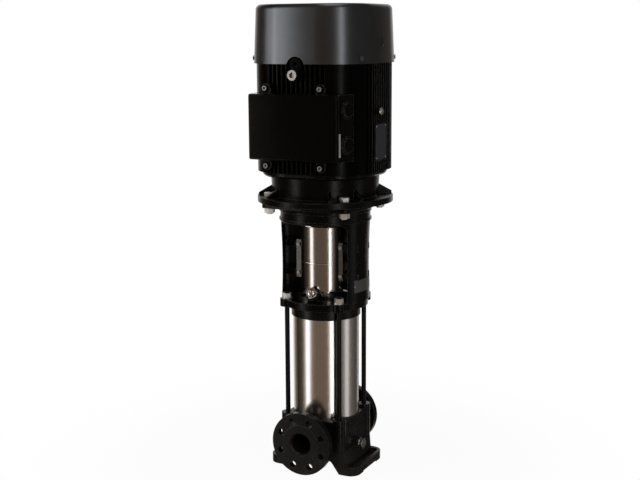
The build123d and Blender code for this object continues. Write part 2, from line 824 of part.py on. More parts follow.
wing_corner = sqrt(guard_bulge**2 - guard_plane**2)
with BuildPart() as coupling_guards:
    for turn in (0, 180):
        sketch_plane = Plane.XY.offset(guard_bottom).rotated((0, 0, turn))
        with BuildSketch(sketch_plane):
            Circle(guard_bulge)
            Circle(guard_bulge - guard_sheet, mode=Mode.SUBTRACT)
            with Locations((0, 2 * guard_bulge - guard_plane)):
                Rectangle(4 * guard_bulge, 4 * guard_bulge, mode=Mode.SUBTRACT)
        extrude(amount=guard_height)
        wing_plane = Plane.XY.offset(guard_wing_bottom).rotated((0, 0, turn))
        with BuildSketch(wing_plane):
            for side in (-1, 1):
                with Locations((side * (guard_wing + wing_corner - 1) / 2, -guard_plane - guard_sheet / 2)):
                    Rectangle(guard_wing - wing_corner + 1, guard_sheet)
        extrude(amount=guard_wing_height)
    for level in guard_lug_heights:
        for side in (-1, 1):
            with BuildSketch(side_plane(side * (guard_wing - 6), 0, level, (0, 1, 0))):
                Circle(guard_screw_radius + thread_room)
            extrude(amount=guard_plane + 10, both=True, mode=Mode.SUBTRACT)
    # The front guard is cut out round the priming plug's boss
    with BuildSketch(prime_plane):
        Circle(prime_boss_radius + 1)
    extrude(amount=2 * prime_boss_length, mode=Mode.SUBTRACT)
finish(coupling_guards.part, "coupling_guards")

with BuildPart() as guard_screws:
    for level in guard_lug_heights:
        for side in (-1, 1):
            for face in (-1, 1):
                head_plane = side_plane(
                    side * (guard_wing - 6), face * (guard_plane + guard_sheet), level, (0, face, 0)
                )
                with BuildSketch(head_plane):
                    Circle(guard_screw_radius * 2)
                extrude(amount=3)
                with BuildSketch(head_plane):
                    Circle(guard_screw_radius)
                extrude(amount=-10)
finish(guard_screws.part, "guard_screws")

# ---- Motor: drive-end shield, bolts, bearings ------------------------------------------------------------

bearing_wall = bearing_outside + 11
with BuildPart() as drive_end_shield:
    with BuildSketch(Plane.XZ):
        with BuildLine():
            Polyline(
                (shaft_radius + 12, motor_seat - spigot_depth),
                (spigot_radius, motor_seat - spigot_depth),
                (spigot_radius, motor_seat),
                (motor_flange_radius, motor_seat),
                (motor_flange_radius, flange_top - 2),
                (motor_flange_radius - 2, flange_top),
                (shield_neck, flange_top),
                (shield_neck + 3, housing_bottom - shield_rim_height),
                (shield_neck + 3, housing_bottom),
                (shield_neck - shield_neck_wall, housing_bottom),
                (shield_neck - shield_neck_wall, flange_top),
                (bearing_wall, flange_top),
                (bearing_wall, drive_bearing + bearing_width + 3),
                (bearing_outside + fit, drive_bearing + bearing_width + 3),
                (bearing_outside + fit, drive_bearing),
                (shaft_radius + 12, drive_bearing),
                close=True,
            )
        make_face()
    revolve(axis=Axis.Z)
    # Upper rim, a rounded square like the housing
    with BuildSketch(Plane.XY.offset(housing_bottom - shield_rim_height)):
        RectangleRounded(2 * shield_rim_half - 10, 2 * shield_rim_half - 10, shield_rim_corner - 5)
    with BuildSketch(Plane.XY.offset(housing_bottom - shield_rim_height + 5)):
        RectangleRounded(2 * shield_rim_half, 2 * shield_rim_half, shield_rim_corner)
    loft()
    with BuildSketch(Plane.XY.offset(housing_bottom - shield_rim_height + 5)):
        RectangleRounded(2 * shield_rim_half, 2 * shield_rim_half, shield_rim_corner)
    extrude(amount=shield_rim_height - 5)
    bore(shield_neck - shield_neck_wall, drive_bearing + bearing_width + 3, shield_height)
    with BuildSketch(Plane.XY.offset(flange_top)):
        Circle(shield_neck - shield_neck_wall)
        Circle(bearing_wall, mode=Mode.SUBTRACT)
    extrude(amount=shield_height, mode=Mode.SUBTRACT)
    # Sloping ribs beside each bolt
    rib_top = flange_top + 28
    for quarter in range(4):
        for lean in (-14, 14):
            angle = 45 + 90 * quarter + lean
            rib_plane = Plane.XZ.rotated((0, 0, angle))
            with BuildSketch(rib_plane.offset(-shield_rib_width / 2)):
                with BuildLine():
                    Polyline(
                        (shield_neck - 4, flange_top - 1),
                        (motor_flange_radius - 3, flange_top - 1),
                        (motor_flange_radius - 3, flange_top + 6),
                        (shield_neck - 4, rib_top),
                        close=True,
                    )
                make_face()
            extrude(amount=shield_rib_width)
    with BuildSketch(Plane.XY.offset(motor_seat)):
        with PolarLocations(motor_bolt_circle, 4, 45):
            Circle(motor_hole_radius)
    extrude(amount=motor_flange_thickness, mode=Mode.SUBTRACT)
finish(drive_end_shield.part, "drive_end_shield")

with BuildPart() as flange_bolts:
    bolt_bottom = plate_bottom - motor_nut_height - 3
    with BuildSketch(Plane.XY.offset(flange_top)):
        with PolarLocations(motor_bolt_circle, 4, 45):
            RegularPolygon(motor_bolt_across / 2, 6, major_radius=False, rotation=30)
    extrude(amount=motor_bolt_head)
    with BuildSketch(Plane.XY.offset(bolt_bottom)):
        with PolarLocations(motor_bolt_circle, 4, 45):
            Circle(motor_bolt_radius)
    extrude(amount=flange_top - bolt_bottom)
finish(flange_bolts.part, "flange_bolts")

with BuildPart() as flange_nuts:
    with BuildSketch(Plane.XY.offset(plate_bottom - motor_nut_height)):
        with PolarLocations(motor_bolt_circle, 4, 45):
            RegularPolygon(motor_bolt_across / 2, 6, major_radius=False)
            Circle(motor_bolt_radius + thread_room, mode=Mode.SUBTRACT)
    extrude(amount=motor_nut_height)
finish(flange_nuts.part, "flange_nuts")

race_centre = (bearing_bore + bearing_outside) / 2
race_room = 0.1
ring_half = ball_radius * 0.55
bearing_levels = (drive_bearing, fan_bearing)


def race(inner, outer):
    """One ring of each deep-groove ball bearing, with its groove."""
    for level in bearing_levels:
        ring(inner, outer, level, bearing_width)
        with BuildSketch(Plane.XZ) as groove:
            with Locations((race_centre, level + bearing_width / 2)):
                Circle(ball_radius + race_room)
        revolve(groove.sketch, axis=Axis.Z, mode=Mode.SUBTRACT)


with BuildPart() as bearing_outer_rings:
    race(race_centre + ring_half, bearing_outside)
finish(bearing_outer_rings.part, "bearing_outer_rings")

with BuildPart() as bearing_inner_rings:
    race(bearing_bore + fit, race_centre - ring_half)
finish(bearing_inner_rings.part, "bearing_inner_rings")

with BuildPart() as bearing_ball_sets:
    for level in bearing_levels:
        middle = level + bearing_width / 2
        ring(race_centre - 1.6, race_centre + 1.6, middle - ball_radius * 0.7, ball_radius * 1.4)
        with PolarLocations(race_centre, ball_count):
            with Locations((0, 0, middle)):
                Sphere(ball_radius)
finish(bearing_ball_sets.part, "bearing_ball_sets")

# ---- Motor: housing, stator, rotor -----------------------------------------------------------------------

fin_gap = fin_pitch - fin_thickness
groove_count = 2 * int(fin_field / fin_pitch)
pad_bottom = box_bottom + box_wall + seat_gap
pad_height = box_height - 2 * box_wall - 2 * seat_gap
pad_half = 96.0
nameplate_pad = (34.0, 28.0, 122.0)  # half width, lower and upper edge above the housing foot
earth_boss_level = housing_top - 144


def screw_spots():
    """Planes on the fan cover's corners, looking outwards, where its four screws sit."""
    flat = cover_half - cover_corner
    planes = []
    for turn in (1, -1):
        for side in (1, -1):
            out = (side * cos(radians(cover_screw_angle)), turn * sin(radians(cover_screw_angle)), 0)
            planes.append(
                side_plane(
                    side * flat + cover_corner * out[0],
                    turn * flat + cover_corner * out[1],
                    cover_bottom + cover_screw_height,
                    out,
                )
            )
    return planes


with BuildPart() as stator_housing:
    with BuildSketch(Plane.XY.offset(housing_bottom)):
        RectangleRounded(2 * housing_half, 2 * housing_half, housing_corner)
    extrude(amount=housing_height)
    # Grooves between the upright fins on all four faces, stopped above and below the terminal box
    full_height = [(housing_bottom, housing_top)]
    round_the_box = [(housing_bottom, box_bottom), (box_bottom + box_height, housing_top)]
    for angle, spans in ((0, full_height), (90, full_height), (180, full_height), (270, round_the_box)):
        for low, high in spans:
            with BuildSketch(Plane.XY.offset(low)):
                with PolarLocations(housing_half, 1, angle):
                    with GridLocations(1, fin_pitch, 1, groove_count):
                        Rectangle(2 * fin_depth, fin_gap)
            extrude(amount=high - low, mode=Mode.SUBTRACT)
    # Machined pad for the terminal board
    with BuildSketch(Plane.XY.offset(pad_bottom)):
        with Locations((0, -pad_plane - fin_depth)):
            Rectangle(2 * pad_half, 2 * fin_depth)
    extrude(amount=pad_height, mode=Mode.SUBTRACT)
    # Flat for the rating plate and a boss for the earth screw
    half_plate, plate_low, plate_high = nameplate_pad
    with BuildSketch(Plane.XY.offset(housing_bottom + plate_low)):
        with Locations((housing_half - fin_depth / 2 - 0.5, 0)):
            Rectangle(fin_depth + 1, 2 * half_plate)
    extrude(amount=plate_high - plate_low)
    with BuildSketch(side_plane(housing_half - fin_depth - 1, 0, earth_boss_level, (1, 0, 0))):
        Circle(9)
    extrude(amount=fin_depth + 1)
    # Boss for the lifting screw above the terminal box
    lifting_plane = side_plane(0, -housing_half - 9, lifting_height, (0, -1, 0))
    with BuildSketch(lifting_plane):
        Circle(lifting_head + 3)
    extrude(amount=-fin_depth - 10)
    with BuildSketch(lifting_plane):
        Circle(lifting_head / 2 + thread_room)
    extrude(amount=-20, mode=Mode.SUBTRACT)
    # Narrower shoulder inside the fan cover
    with BuildSketch(Plane.XY.offset(cover_bottom)):
        RectangleRounded(4 * housing_half, 4 * housing_half, housing_corner)
        RectangleRounded(
            2 * (housing_half - housing_step),
            2 * (housing_half - housing_step),
            housing_corner - housing_step,
            mode=Mode.SUBTRACT,
        )
    extrude(amount=housing_height, mode=Mode.SUBTRACT)
    # Threaded boss in the cover's notch
    with BuildSketch(side_plane(0, -housing_half - 2, lifting_height + notch_boss_rise, (0, -1, 0))):
        Circle(notch_boss_radius)
        Circle(notch_boss_radius / 3, mode=Mode.SUBTRACT)
    extrude(amount=-fin_depth)
    bore(housing_bore, housing_bottom, housing_height)
    with BuildSketch(Plane.XY.offset(housing_bottom)):
        with PolarLocations(housing_bore + 27, 4, 45):
            Circle(17)
    extrude(amount=housing_height, mode=Mode.SUBTRACT)
    for plane in screw_spots():
        with BuildSketch(plane):
            Circle(cover_screw_radius + thread_room)
        extrude(amount=-22, mode=Mode.SUBTRACT)
finish(stator_housing.part, "stator_housing")

with BuildPart() as stator_core:
    ring(rotor_radius + air_gap, housing_bore, core_bottom, core_length)
    with BuildSketch(Plane.XY.offset(core_bottom)):
        with PolarLocations(rotor_radius + air_gap + 12, 24):
            Rectangle(18, 7)
    extrude(amount=core_length, mode=Mode.SUBTRACT)
finish(stator_core.part, "stator_core")

with BuildPart() as stator_windings:
    for level in (core_bottom - winding_height, core_top):
        ring(rotor_radius + 5, rotor_radius + 34, level, winding_height)
    fillet(stator_windings.edges().filter_by(GeomType.CIRCLE).group_by(Axis.Z)[0], 8)
    fillet(stator_windings.edges().filter_by(GeomType.CIRCLE).group_by(Axis.Z)[-1], 8)
finish(stator_windings.part, "stator_windings")

with BuildPart() as rotor_core:
    ring(shaft_radius + 4 + fit, rotor_radius, core_bottom, core_length)
    for level in (core_bottom - 12, core_top):
        ring(rotor_radius - 26, rotor_radius - 4, level, 12)
finish(rotor_core.part, "rotor_core")

with BuildPart() as motor_shaft:
    with BuildSketch(Plane.XZ):
        with BuildLine():
            Polyline(
                (0, shaft_end),
                (shaft_radius - 1.5, shaft_end),
                (shaft_radius, shaft_end + 1.5),
                (shaft_radius, drive_bearing - 3),
                (bearing_bore, drive_bearing - 3),
                (bearing_bore, drive_bearing + bearing_width),
                (shaft_radius + 4, drive_bearing + bearing_width),
                (shaft_radius + 4, fan_bearing),
                (bearing_bore, fan_bearing),
                (bearing_bore, fan_bearing + bearing_width + 2),
                (fan_shaft_radius, fan_bearing + bearing_width + 2),
                (fan_shaft_radius, fan_bottom + fan_blade_width + 4),
                (0, fan_bottom + fan_blade_width + 4),
                close=True,
            )
        make_face()
    revolve(axis=Axis.Z)
finish(motor_shaft.part, "motor_shaft")

with BuildPart() as fan_end_shield:
    ring(bearing_outside + fit, bearing_wall, fan_bearing - 4, housing_top - fan_bearing + 4)
    ring(bearing_outside - 6, housing_bore - fit, housing_top - 3, 8)
    ring(bearing_wall - 2, housing_bore - fit, housing_top - 14, 12)
    ring(housing_bore - 8, housing_bore + 12, housing_top, 5)
    for angle in range(0, 360, 60):
        with BuildSketch(Plane.XY.offset(fan_bearing - 2)):
            with PolarLocations((bearing_wall + housing_bore) / 2 - 2, 1, angle):
                Rectangle(housing_bore - bearing_wall - 2, 6)
        extrude(amount=housing_top - fan_bearing)
finish(fan_end_shield.part, "fan_end_shield")

with BuildPart() as cooling_fan:
    ring(fan_shaft_radius + fit, fan_shaft_radius + 12, fan_bottom, fan_blade_width + 2)
    ring(fan_shaft_radius + 10, fan_radius - 22, fan_bottom, 4)
    with BuildSketch(Plane.XY.offset(fan_bottom)):
        with PolarLocations((fan_radius + fan_shaft_radius + 8) / 2, fan_blades):
            Rectangle(fan_radius - fan_shaft_radius - 8, 4)
    extrude(amount=fan_blade_width)
finish(cooling_fan.part, "cooling_fan")

# ---- Fan cover -------------------------------------------------------------------------------------------


def cover_shell(inset, top):
    """Tapered rounded square between the cover's lower edge and a given height, rounded at the top."""
    drop = cover_taper * (top - cover_bottom) / cover_height
    low, high = cover_half - inset, cover_half - inset - drop
    with BuildPart() as shell:
        with BuildSketch(Plane.XY.offset(cover_bottom)):
            RectangleRounded(2 * low, 2 * low, cover_corner - inset)
        with BuildSketch(Plane.XY.offset(top)):
            RectangleRounded(2 * high, 2 * high, cover_corner - inset - drop)
        loft()
        fillet(shell.faces().sort_by(Axis.Z)[-1].edges(), cover_round - inset)
    return shell.part


outside = cover_shell(0, cover_top)
inside = cover_shell(cover_wall, cover_top - cover_wall)
with BuildPart() as fan_cover:
    add(outside)
    add(inside, mode=Mode.SUBTRACT)
    # Intake grille: concentric slots between spokes
    with BuildSketch(Plane.XY.offset(cover_top - 2 * cover_wall)):
        for number in range(grille_rings):
            inner = grille_inner + number * grille_pitch
            with BuildSketch(mode=Mode.PRIVATE) as slot_ring:
                Circle(inner + grille_slot)
                Circle(inner, mode=Mode.SUBTRACT)
            add(slot_ring.sketch)
        with PolarLocations(0, grille_spokes // 2):
            Rectangle(2 * cover_half, grille_spoke_width, mode=Mode.SUBTRACT)
    extrude(amount=3 * cover_wall, mode=Mode.SUBTRACT)
    # Half-round notch over the lifting screw
    notch_level = cover_bottom + notch_depth - notch_radius
    with BuildSketch(side_plane(0, -housing_half + fin_depth, notch_level, (0, -1, 0))):
        Circle(notch_radius)
    extrude(amount=2 * fin_depth, mode=Mode.SUBTRACT)
    # Round dimple on the right face
    dimple_floor = cover_half - cover_taper * dimple_height / cover_height - dimple_depth
    with BuildSketch(side_plane(dimple_floor, 0, cover_bottom + dimple_height, (1, 0, 0))):
        Circle(dimple_radius)
    extrude(amount=cover_taper, mode=Mode.SUBTRACT)
    for plane in screw_spots():
        with BuildSketch(plane):
            Circle(cover_screw_radius + thread_room)
        extrude(amount=cover_wall + 3, both=True, mode=Mode.SUBTRACT)
finish(fan_cover.part, "fan_cover")

with BuildPart() as fan_cover_screws:
    for plane in screw_spots():
        with BuildSketch(plane.offset(0.4)):
            Circle(cover_screw_radius * 2)
        extrude(amount=2.4)
        with BuildSketch(plane.offset(0.4)):
            Circle(cover_screw_radius)
        extrude(amount=-20)
finish(fan_cover_screws.part, "fan_cover_screws")

# ---- Terminal box ----------------------------------------------------------------------------------------


box_middle = box_bottom + box_height / 2
front_section = side_plane(0, -box_front, box_middle, (0, -1, 0))
lug_spots = [(x, y) for x in (-box_screw_x, box_screw_x) for y in (-1, 1)]
lug_out = box_height / 2 + box_screw_out


def entry_planes():
    """Planes of the two cable entries on the sloping right side of the box, looking outwards."""
    lean = (box_half_back - box_half_front) / (box_front - box_back)
    normal = Vector(1, -lean, 0).normalized()
    x = box_half_front + lean * (entry_offset + box_front)
    return [side_plane(x, entry_offset, box_bottom + height, tuple(normal)) for height in entry_heights]


with BuildPart() as housing_shape:
    with BuildSketch(Plane.XY.offset(box_bottom - 30)):
        RectangleRounded(
            2 * (housing_half + seat_gap), 2 * (housing_half + seat_gap), housing_corner + seat_gap
        )
    extrude(amount=box_height + 60)

with BuildPart() as terminal_box:
    with BuildSketch(Plane.XY.offset(box_bottom)):
        with BuildLine():
            Polyline(
                (-box_half_back, -box_back),
                (-box_half_front, -box_front),
                (box_half_front, -box_front),
                (box_half_back, -box_back),
                close=True,
            )
        make_face()
    extrude(amount=box_height)
    upright = terminal_box.edges().filter_by(Axis.Z).sort_by(Axis.Y)[:2]
    fillet(upright, box_corner)
    for x, y in lug_spots:
        with BuildSketch(front_section):
            with Locations((x, y * box_height / 2)):
                Rectangle(2 * box_lug_radius, 2 * box_screw_out)
            with Locations((x, y * lug_out)):
                Circle(box_lug_radius)
        extrude(amount=-16)
    add(housing_shape.part, mode=Mode.SUBTRACT)
    # Hollow, open to the lid and to the pad on the housing
    with BuildSketch(Plane.XY.offset(box_bottom + box_wall)):
        with BuildLine():
            Polyline(
                (-box_half_back + box_wall, -box_back - box_wall),
                (-box_half_front + box_wall, -box_front - 1),
                (box_half_front - box_wall, -box_front - 1),
                (box_half_back - box_wall, -box_back - box_wall),
                close=True,
            )
        make_face()
    extrude(amount=box_height - 2 * box_wall, mode=Mode.SUBTRACT)
    for plane in entry_planes():
        with BuildSketch(plane):
            Circle(entry_radius - 7)
        extrude(amount=box_wall + 4, both=True, mode=Mode.SUBTRACT)
    for x, y in lug_spots:
        with BuildSketch(front_section):
            with Locations((x, y * lug_out)):
                Circle(box_screw_radius + thread_room)
        extrude(amount=-16, mode=Mode.SUBTRACT)
finish(terminal_box.part, "terminal_box")

with BuildPart() as terminal_box_gasket:
    with BuildSketch(front_section):
        RectangleRounded(2 * box_half_front - 4, box_height - 4, box_corner)
        RectangleRounded(2 * (box_half_front - box_wall), box_height - 2 * box_wall, 4, mode=Mode.SUBTRACT)
    extrude(amount=box_gasket)
finish(terminal_box_gasket.part, "terminal_box_gasket")

lid_back = front_section.offset(box_gasket)
with BuildPart() as terminal_box_lid:
    with BuildSketch(lid_back):
        RectangleRounded(2 * box_half_front, box_height, 5)
    extrude(amount=box_lid)
    outer_edges = terminal_box_lid.faces().sort_by(Axis.Y)[0].edges()
    fillet(outer_edges, 4)
    with BuildSketch(lid_back):
        RectangleRounded(2 * (box_half_front - box_wall), box_height - 2 * box_wall, 4)
    extrude(amount=box_lid - 4, mode=Mode.SUBTRACT)
    for x, y in lug_spots:
        with BuildSketch(lid_back):
            with Locations((x, y * (box_height / 2 + box_screw_out / 2))):
                Rectangle(2 * box_lug_radius, box_screw_out + 4)
            with Locations((x, y * lug_out)):
                Circle(box_lug_radius)
                Circle(box_screw_radius + thread_room, mode=Mode.SUBTRACT)
        extrude(amount=5)
finish(terminal_box_lid.part, "terminal_box_lid")

with BuildPart() as terminal_box_screws:
    for x, y in lug_spots:
        with BuildSketch(lid_back.offset(5)):
            with Locations((x, y * lug_out)):
                Circle(box_screw_head)
        extrude(amount=6)
        with BuildSketch(lid_back.offset(11)):
            with Locations((x, y * lug_out)):
                RegularPolygon(box_screw_radius, 6, major_radius=False)
        extrude(amount=-3.5, mode=Mode.SUBTRACT)
        with BuildSketch(lid_back.offset(5)):
            with Locations((x, y * lug_out)):
                Circle(box_screw_radius)
        extrude(amount=-15)
finish(terminal_box_screws.part, "terminal_box_screws")

board_plane = side_plane(0, -pad_plane, box_middle, (0, -1, 0))
with BuildPart() as terminal_board:
    with BuildSketch(board_plane):
        RectangleRounded(board_length, board_height, 6)
    extrude(amount=8)
    with BuildSketch(board_plane.offset(8)):
        with GridLocations(board_length / 3, board_height / 2, 3, 2):
            Circle(stud_radius)
    extrude(amount=12)
finish(terminal_board.part, "terminal_board")

with BuildPart() as cable_entry_plugs:
    for plane in entry_planes():
        with BuildSketch(plane):
            Circle(entry_radius)
        extrude(amount=3)
        with BuildSketch(plane.offset(3)):
            Circle(entry_radius - 5)
        extrude(amount=4)
        with BuildSketch(plane):
            Circle(entry_radius - 7 - thread_room)
        extrude(amount=-box_wall * 0.6)
finish(cable_entry_plugs.part, "cable_entry_plugs")

with BuildPart() as lifting_screw:
    with BuildSketch(lifting_plane):
        Circle(lifting_head)
    extrude(amount=11)
    with BuildSketch(lifting_plane.offset(11)):
        RegularPolygon(lifting_head * 0.52, 6, major_radius=False)
    extrude(amount=-6, mode=Mode.SUBTRACT)
    with BuildSketch(lifting_plane):
        Circle(lifting_head / 2)
    extrude(amount=-18)
finish(lifting_screw.part, "lifting_screw")
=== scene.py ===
import bpy
import bmesh
import json
import math
from mathutils import Matrix, Vector


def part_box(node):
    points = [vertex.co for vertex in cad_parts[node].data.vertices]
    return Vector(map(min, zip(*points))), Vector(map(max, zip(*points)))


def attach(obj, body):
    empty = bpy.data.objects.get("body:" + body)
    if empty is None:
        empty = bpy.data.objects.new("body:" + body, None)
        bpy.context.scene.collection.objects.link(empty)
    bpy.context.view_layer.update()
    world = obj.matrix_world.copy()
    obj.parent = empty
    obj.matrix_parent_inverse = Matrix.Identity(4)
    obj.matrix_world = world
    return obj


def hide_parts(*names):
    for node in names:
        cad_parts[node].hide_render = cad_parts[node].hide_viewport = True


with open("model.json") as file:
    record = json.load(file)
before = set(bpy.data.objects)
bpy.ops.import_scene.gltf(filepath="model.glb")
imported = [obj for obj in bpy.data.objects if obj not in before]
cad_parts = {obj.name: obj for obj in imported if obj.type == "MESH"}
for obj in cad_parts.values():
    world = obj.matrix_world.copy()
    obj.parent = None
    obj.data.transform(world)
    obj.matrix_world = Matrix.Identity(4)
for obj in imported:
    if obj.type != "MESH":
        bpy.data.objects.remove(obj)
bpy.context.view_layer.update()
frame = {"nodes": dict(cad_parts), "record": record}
nodes = frame["nodes"]
scene = bpy.context.scene
print("frame loaded:", len(nodes), "nodes")


# One value travelling through a material; arithmetic on it adds maths nodes.
class Wire:
    def __init__(self, sheet, socket):
        self.sheet = sheet
        self.socket = socket

    def calc(self, operation, first, second=0.0, clamp=False):
        settings = {"operation": operation, "use_clamp": clamp}
        return self.sheet.node("ShaderNodeMath", settings, {0: first, 1: second})

    def __add__(self, other):
        return self.calc("ADD", self, other)

    def __radd__(self, other):
        return self.calc("ADD", other, self)

    def __sub__(self, other):
        return self.calc("SUBTRACT", self, other)

    def __rsub__(self, other):
        return self.calc("SUBTRACT", other, self)

    def __mul__(self, other):
        return self.calc("MULTIPLY", self, other)

    def __rmul__(self, other):
        return self.calc("MULTIPLY", other, self)

    def __neg__(self):
        return self.calc("MULTIPLY", self, -1.0)

    def size(self):
        return self.calc("ABSOLUTE", self)

    def atLeast(self, other):
        return self.calc("MAXIMUM", self, other)

    def clip(self):
        return self.calc("ADD", self, 0.0, clamp=True)

    # Runs smoothly from 0 at start to 1 at end, whichever is the larger.
    def fade(self, start, end):
        return self.sheet.node("ShaderNodeMapRange", {"interpolation_type": "SMOOTHSTEP"},
                               {"Value": self, "From Min": start, "From Max": end})


def colour(value):
    if isinstance(value, Wire):
        return value
    return (value[0], value[1], value[2], 1.0)


# The nodes of one material or of the world.
class NodeSheet:
    def __init__(self, owner):
        owner.use_nodes = True
        self.tree = owner.node_tree
        self.tree.nodes.clear()

    def feed(self, made, sockets):
        for key, value in sockets.items():
            if isinstance(value, Wire):
                self.tree.links.new(value.socket, made.inputs[key])
            else:
                made.inputs[key].default_value = value

    # Gives the output that is named, or the first one in use; a tree's last node comes back itself.
    def node(self, kind, settings, sockets, result=None):
        made = self.tree.nodes.new(kind)
        for key, value in settings.items():
            setattr(made, key, value)
        self.feed(made, sockets)
        if not made.outputs:
            return made
        inUse = [socket for socket in made.outputs if socket.enabled]
        return Wire(self, made.outputs[result] if result else inUse[0])

    def mix(self, factor, first, second):
        sockets = {0: factor, 6: colour(first), 7: colour(second)}
        return self.node("ShaderNodeMix", {"data_type": "RGBA", "clamp_factor": True}, sockets)

    def vector(self, operation, *values):
        result = "Value" if operation in ("DOT_PRODUCT", "LENGTH") else "Vector"
        return self.node("ShaderNodeVectorMath", {"operation": operation}, dict(enumerate(values)), result)


# One material: a Principled shader and the few patterns that the finishes share.
class Shade(NodeSheet):
    def __init__(self, name):
        self.material = bpy.data.materials.new(name)
        super().__init__(self.material)
        self.shader = self.node("ShaderNodeBsdfPrincipled", {}, {})
        self.output = self.node("ShaderNodeOutputMaterial", {}, {"Surface": self.shader})
        self.place = self.node("ShaderNodeTexCoord", {}, {}, "Object")

    def set(self, **values):
        self.feed(self.shader.socket.node, {key.replace("_", " "): value for key, value in values.items()})

    def stretch(self, x, y, z):
        return self.vector("MULTIPLY", self.place, (x, y, z))

    def noise(self, scale, detail=3.0, rough=0.55, vector=None):
        sockets = {"Vector": vector or self.place, "Scale": scale, "Detail": detail, "Roughness": rough}
        return self.node("ShaderNodeTexNoise", {"noise_dimensions": "3D"}, sockets, "Fac")

    def cells(self, scale, feature="F1", vector=None):
        settings = {"feature": feature, "voronoi_dimensions": "3D"}
        sockets = {"Vector": vector or self.place, "Scale": scale}
        return self.node("ShaderNodeTexVoronoi", settings, sockets, "Distance")

    def axis(self, name):
        return self.node("ShaderNodeSeparateXYZ", {}, {0: self.place}, name)

    def flatNormal(self):
        return self.node("ShaderNodeNewGeometry", {}, {}, "Normal")

    def rounded(self, radius):
        if not radius:
            return self.flatNormal()
        return self.node("ShaderNodeBevel", {"samples": 8}, {"Radius": radius})

    # Leans the normals outwards from the upright axis, so that flat sides look slightly crowned.
    def crowned(self, normal, amount):
        if not amount:
            return normal
        return self.vector("NORMALIZE", self.vector("ADD", normal, self.stretch(amount, amount, 0.0)))

    # 1 along sharp edges, where the rounded normal turns away from the flat one.
    def edges(self, radius):
        return self.vector("DOT_PRODUCT", self.rounded(radius), self.flatNormal()).fade(0.995, 0.86)

    # 1 deep in corners and recesses.
    def hollows(self, distance):
        lit = self.node("ShaderNodeAmbientOcclusion", {"samples": 6}, {"Distance": distance}, "AO")
        return lit.fade(0.75, 0.25)

    # 1 on faces that lie level, where dust settles.
    def upward(self):
        return self.node("ShaderNodeSeparateXYZ", {}, {0: self.flatNormal()}, "Z").fade(0.35, 0.95)

    def bump(self, height, distance, under=None):
        sockets = {"Height": height, "Distance": distance, "Strength": 1.0}
        if under is not None:
            sockets["Normal"] = under
        return self.node("ShaderNodeBump", {}, sockets)


# Sprayed paint over cast metal: sand-grain bump, mottled gloss, thin lighter edges that are partly rubbed
# paint and partly a painted highlight, dust in hollows.
def paintedCasting(name, look):
    shade = Shade(name)
    grain = shade.noise(look["grain"], 4.0, 0.62)
    lumps = shade.noise(look["grain"] * look["lumpShare"])
    pits = 1.0 - shade.cells(look["grain"] * look["pitShare"]).fade(*look["pitBand"])
    patches = shade.noise(look["patchScale"], 3.0, 0.6).fade(*look["patchBand"])
    rubbedAndHighlit = shade.noise(look["wearScale"], 4.0, 0.7).fade(*look["wearBand"])
    # Lighter edges: partly rubbed paint, partly a painted highlight along sharp edges.
    edgeTone = shade.edges(look["edge"]) * rubbedAndHighlit * look["edgeStrength"]
    settled = shade.upward() * shade.noise(look["dustScale"], 5.0, 0.7).fade(*look["dustBand"])
    dust = (settled + shade.hollows(look["hollow"]) * 0.5) * look["dust"]
    # Lighter and duller towards the floor, added to the same mask as the dust.
    if look["ground"]:
        low = 1.0 - shade.axis("Z").fade(*look["groundBand"])
        dust = dust + low * patches.atLeast(0.4) * look["ground"]
    dust = dust.clip()
    base = shade.mix(patches * 0.6, look["tint"], look["tintTwo"])
    base = shade.mix(pits * 0.35, base, [part * look["pitTint"] for part in look["tint"]])
    base = shade.mix(edgeTone.clip(), base, look["edgeTint"])
    base = shade.mix(dust, base, look["dustTint"])
    rough = look["rough"] + (lumps - 0.5) * look["mottle"] + (patches - 0.5) * (look["mottle"] * 0.4)
    rough = rough + dust * 0.25 + edgeTone * 0.08  # dust and the lighter edges are duller than the paint
    height = grain * 0.5 + lumps * 1.1 - pits * look["pits"]  # shares of the relief
    normal = shade.crowned(shade.rounded(look["soft"]), look["crown"])
    shade.set(Base_Color=base, Roughness=rough.clip(), Normal=shade.bump(height, look["relief"], normal))
    shade.set(Specular_IOR_Level=look["specular"], Metallic=look["metal"])
    return shade.material


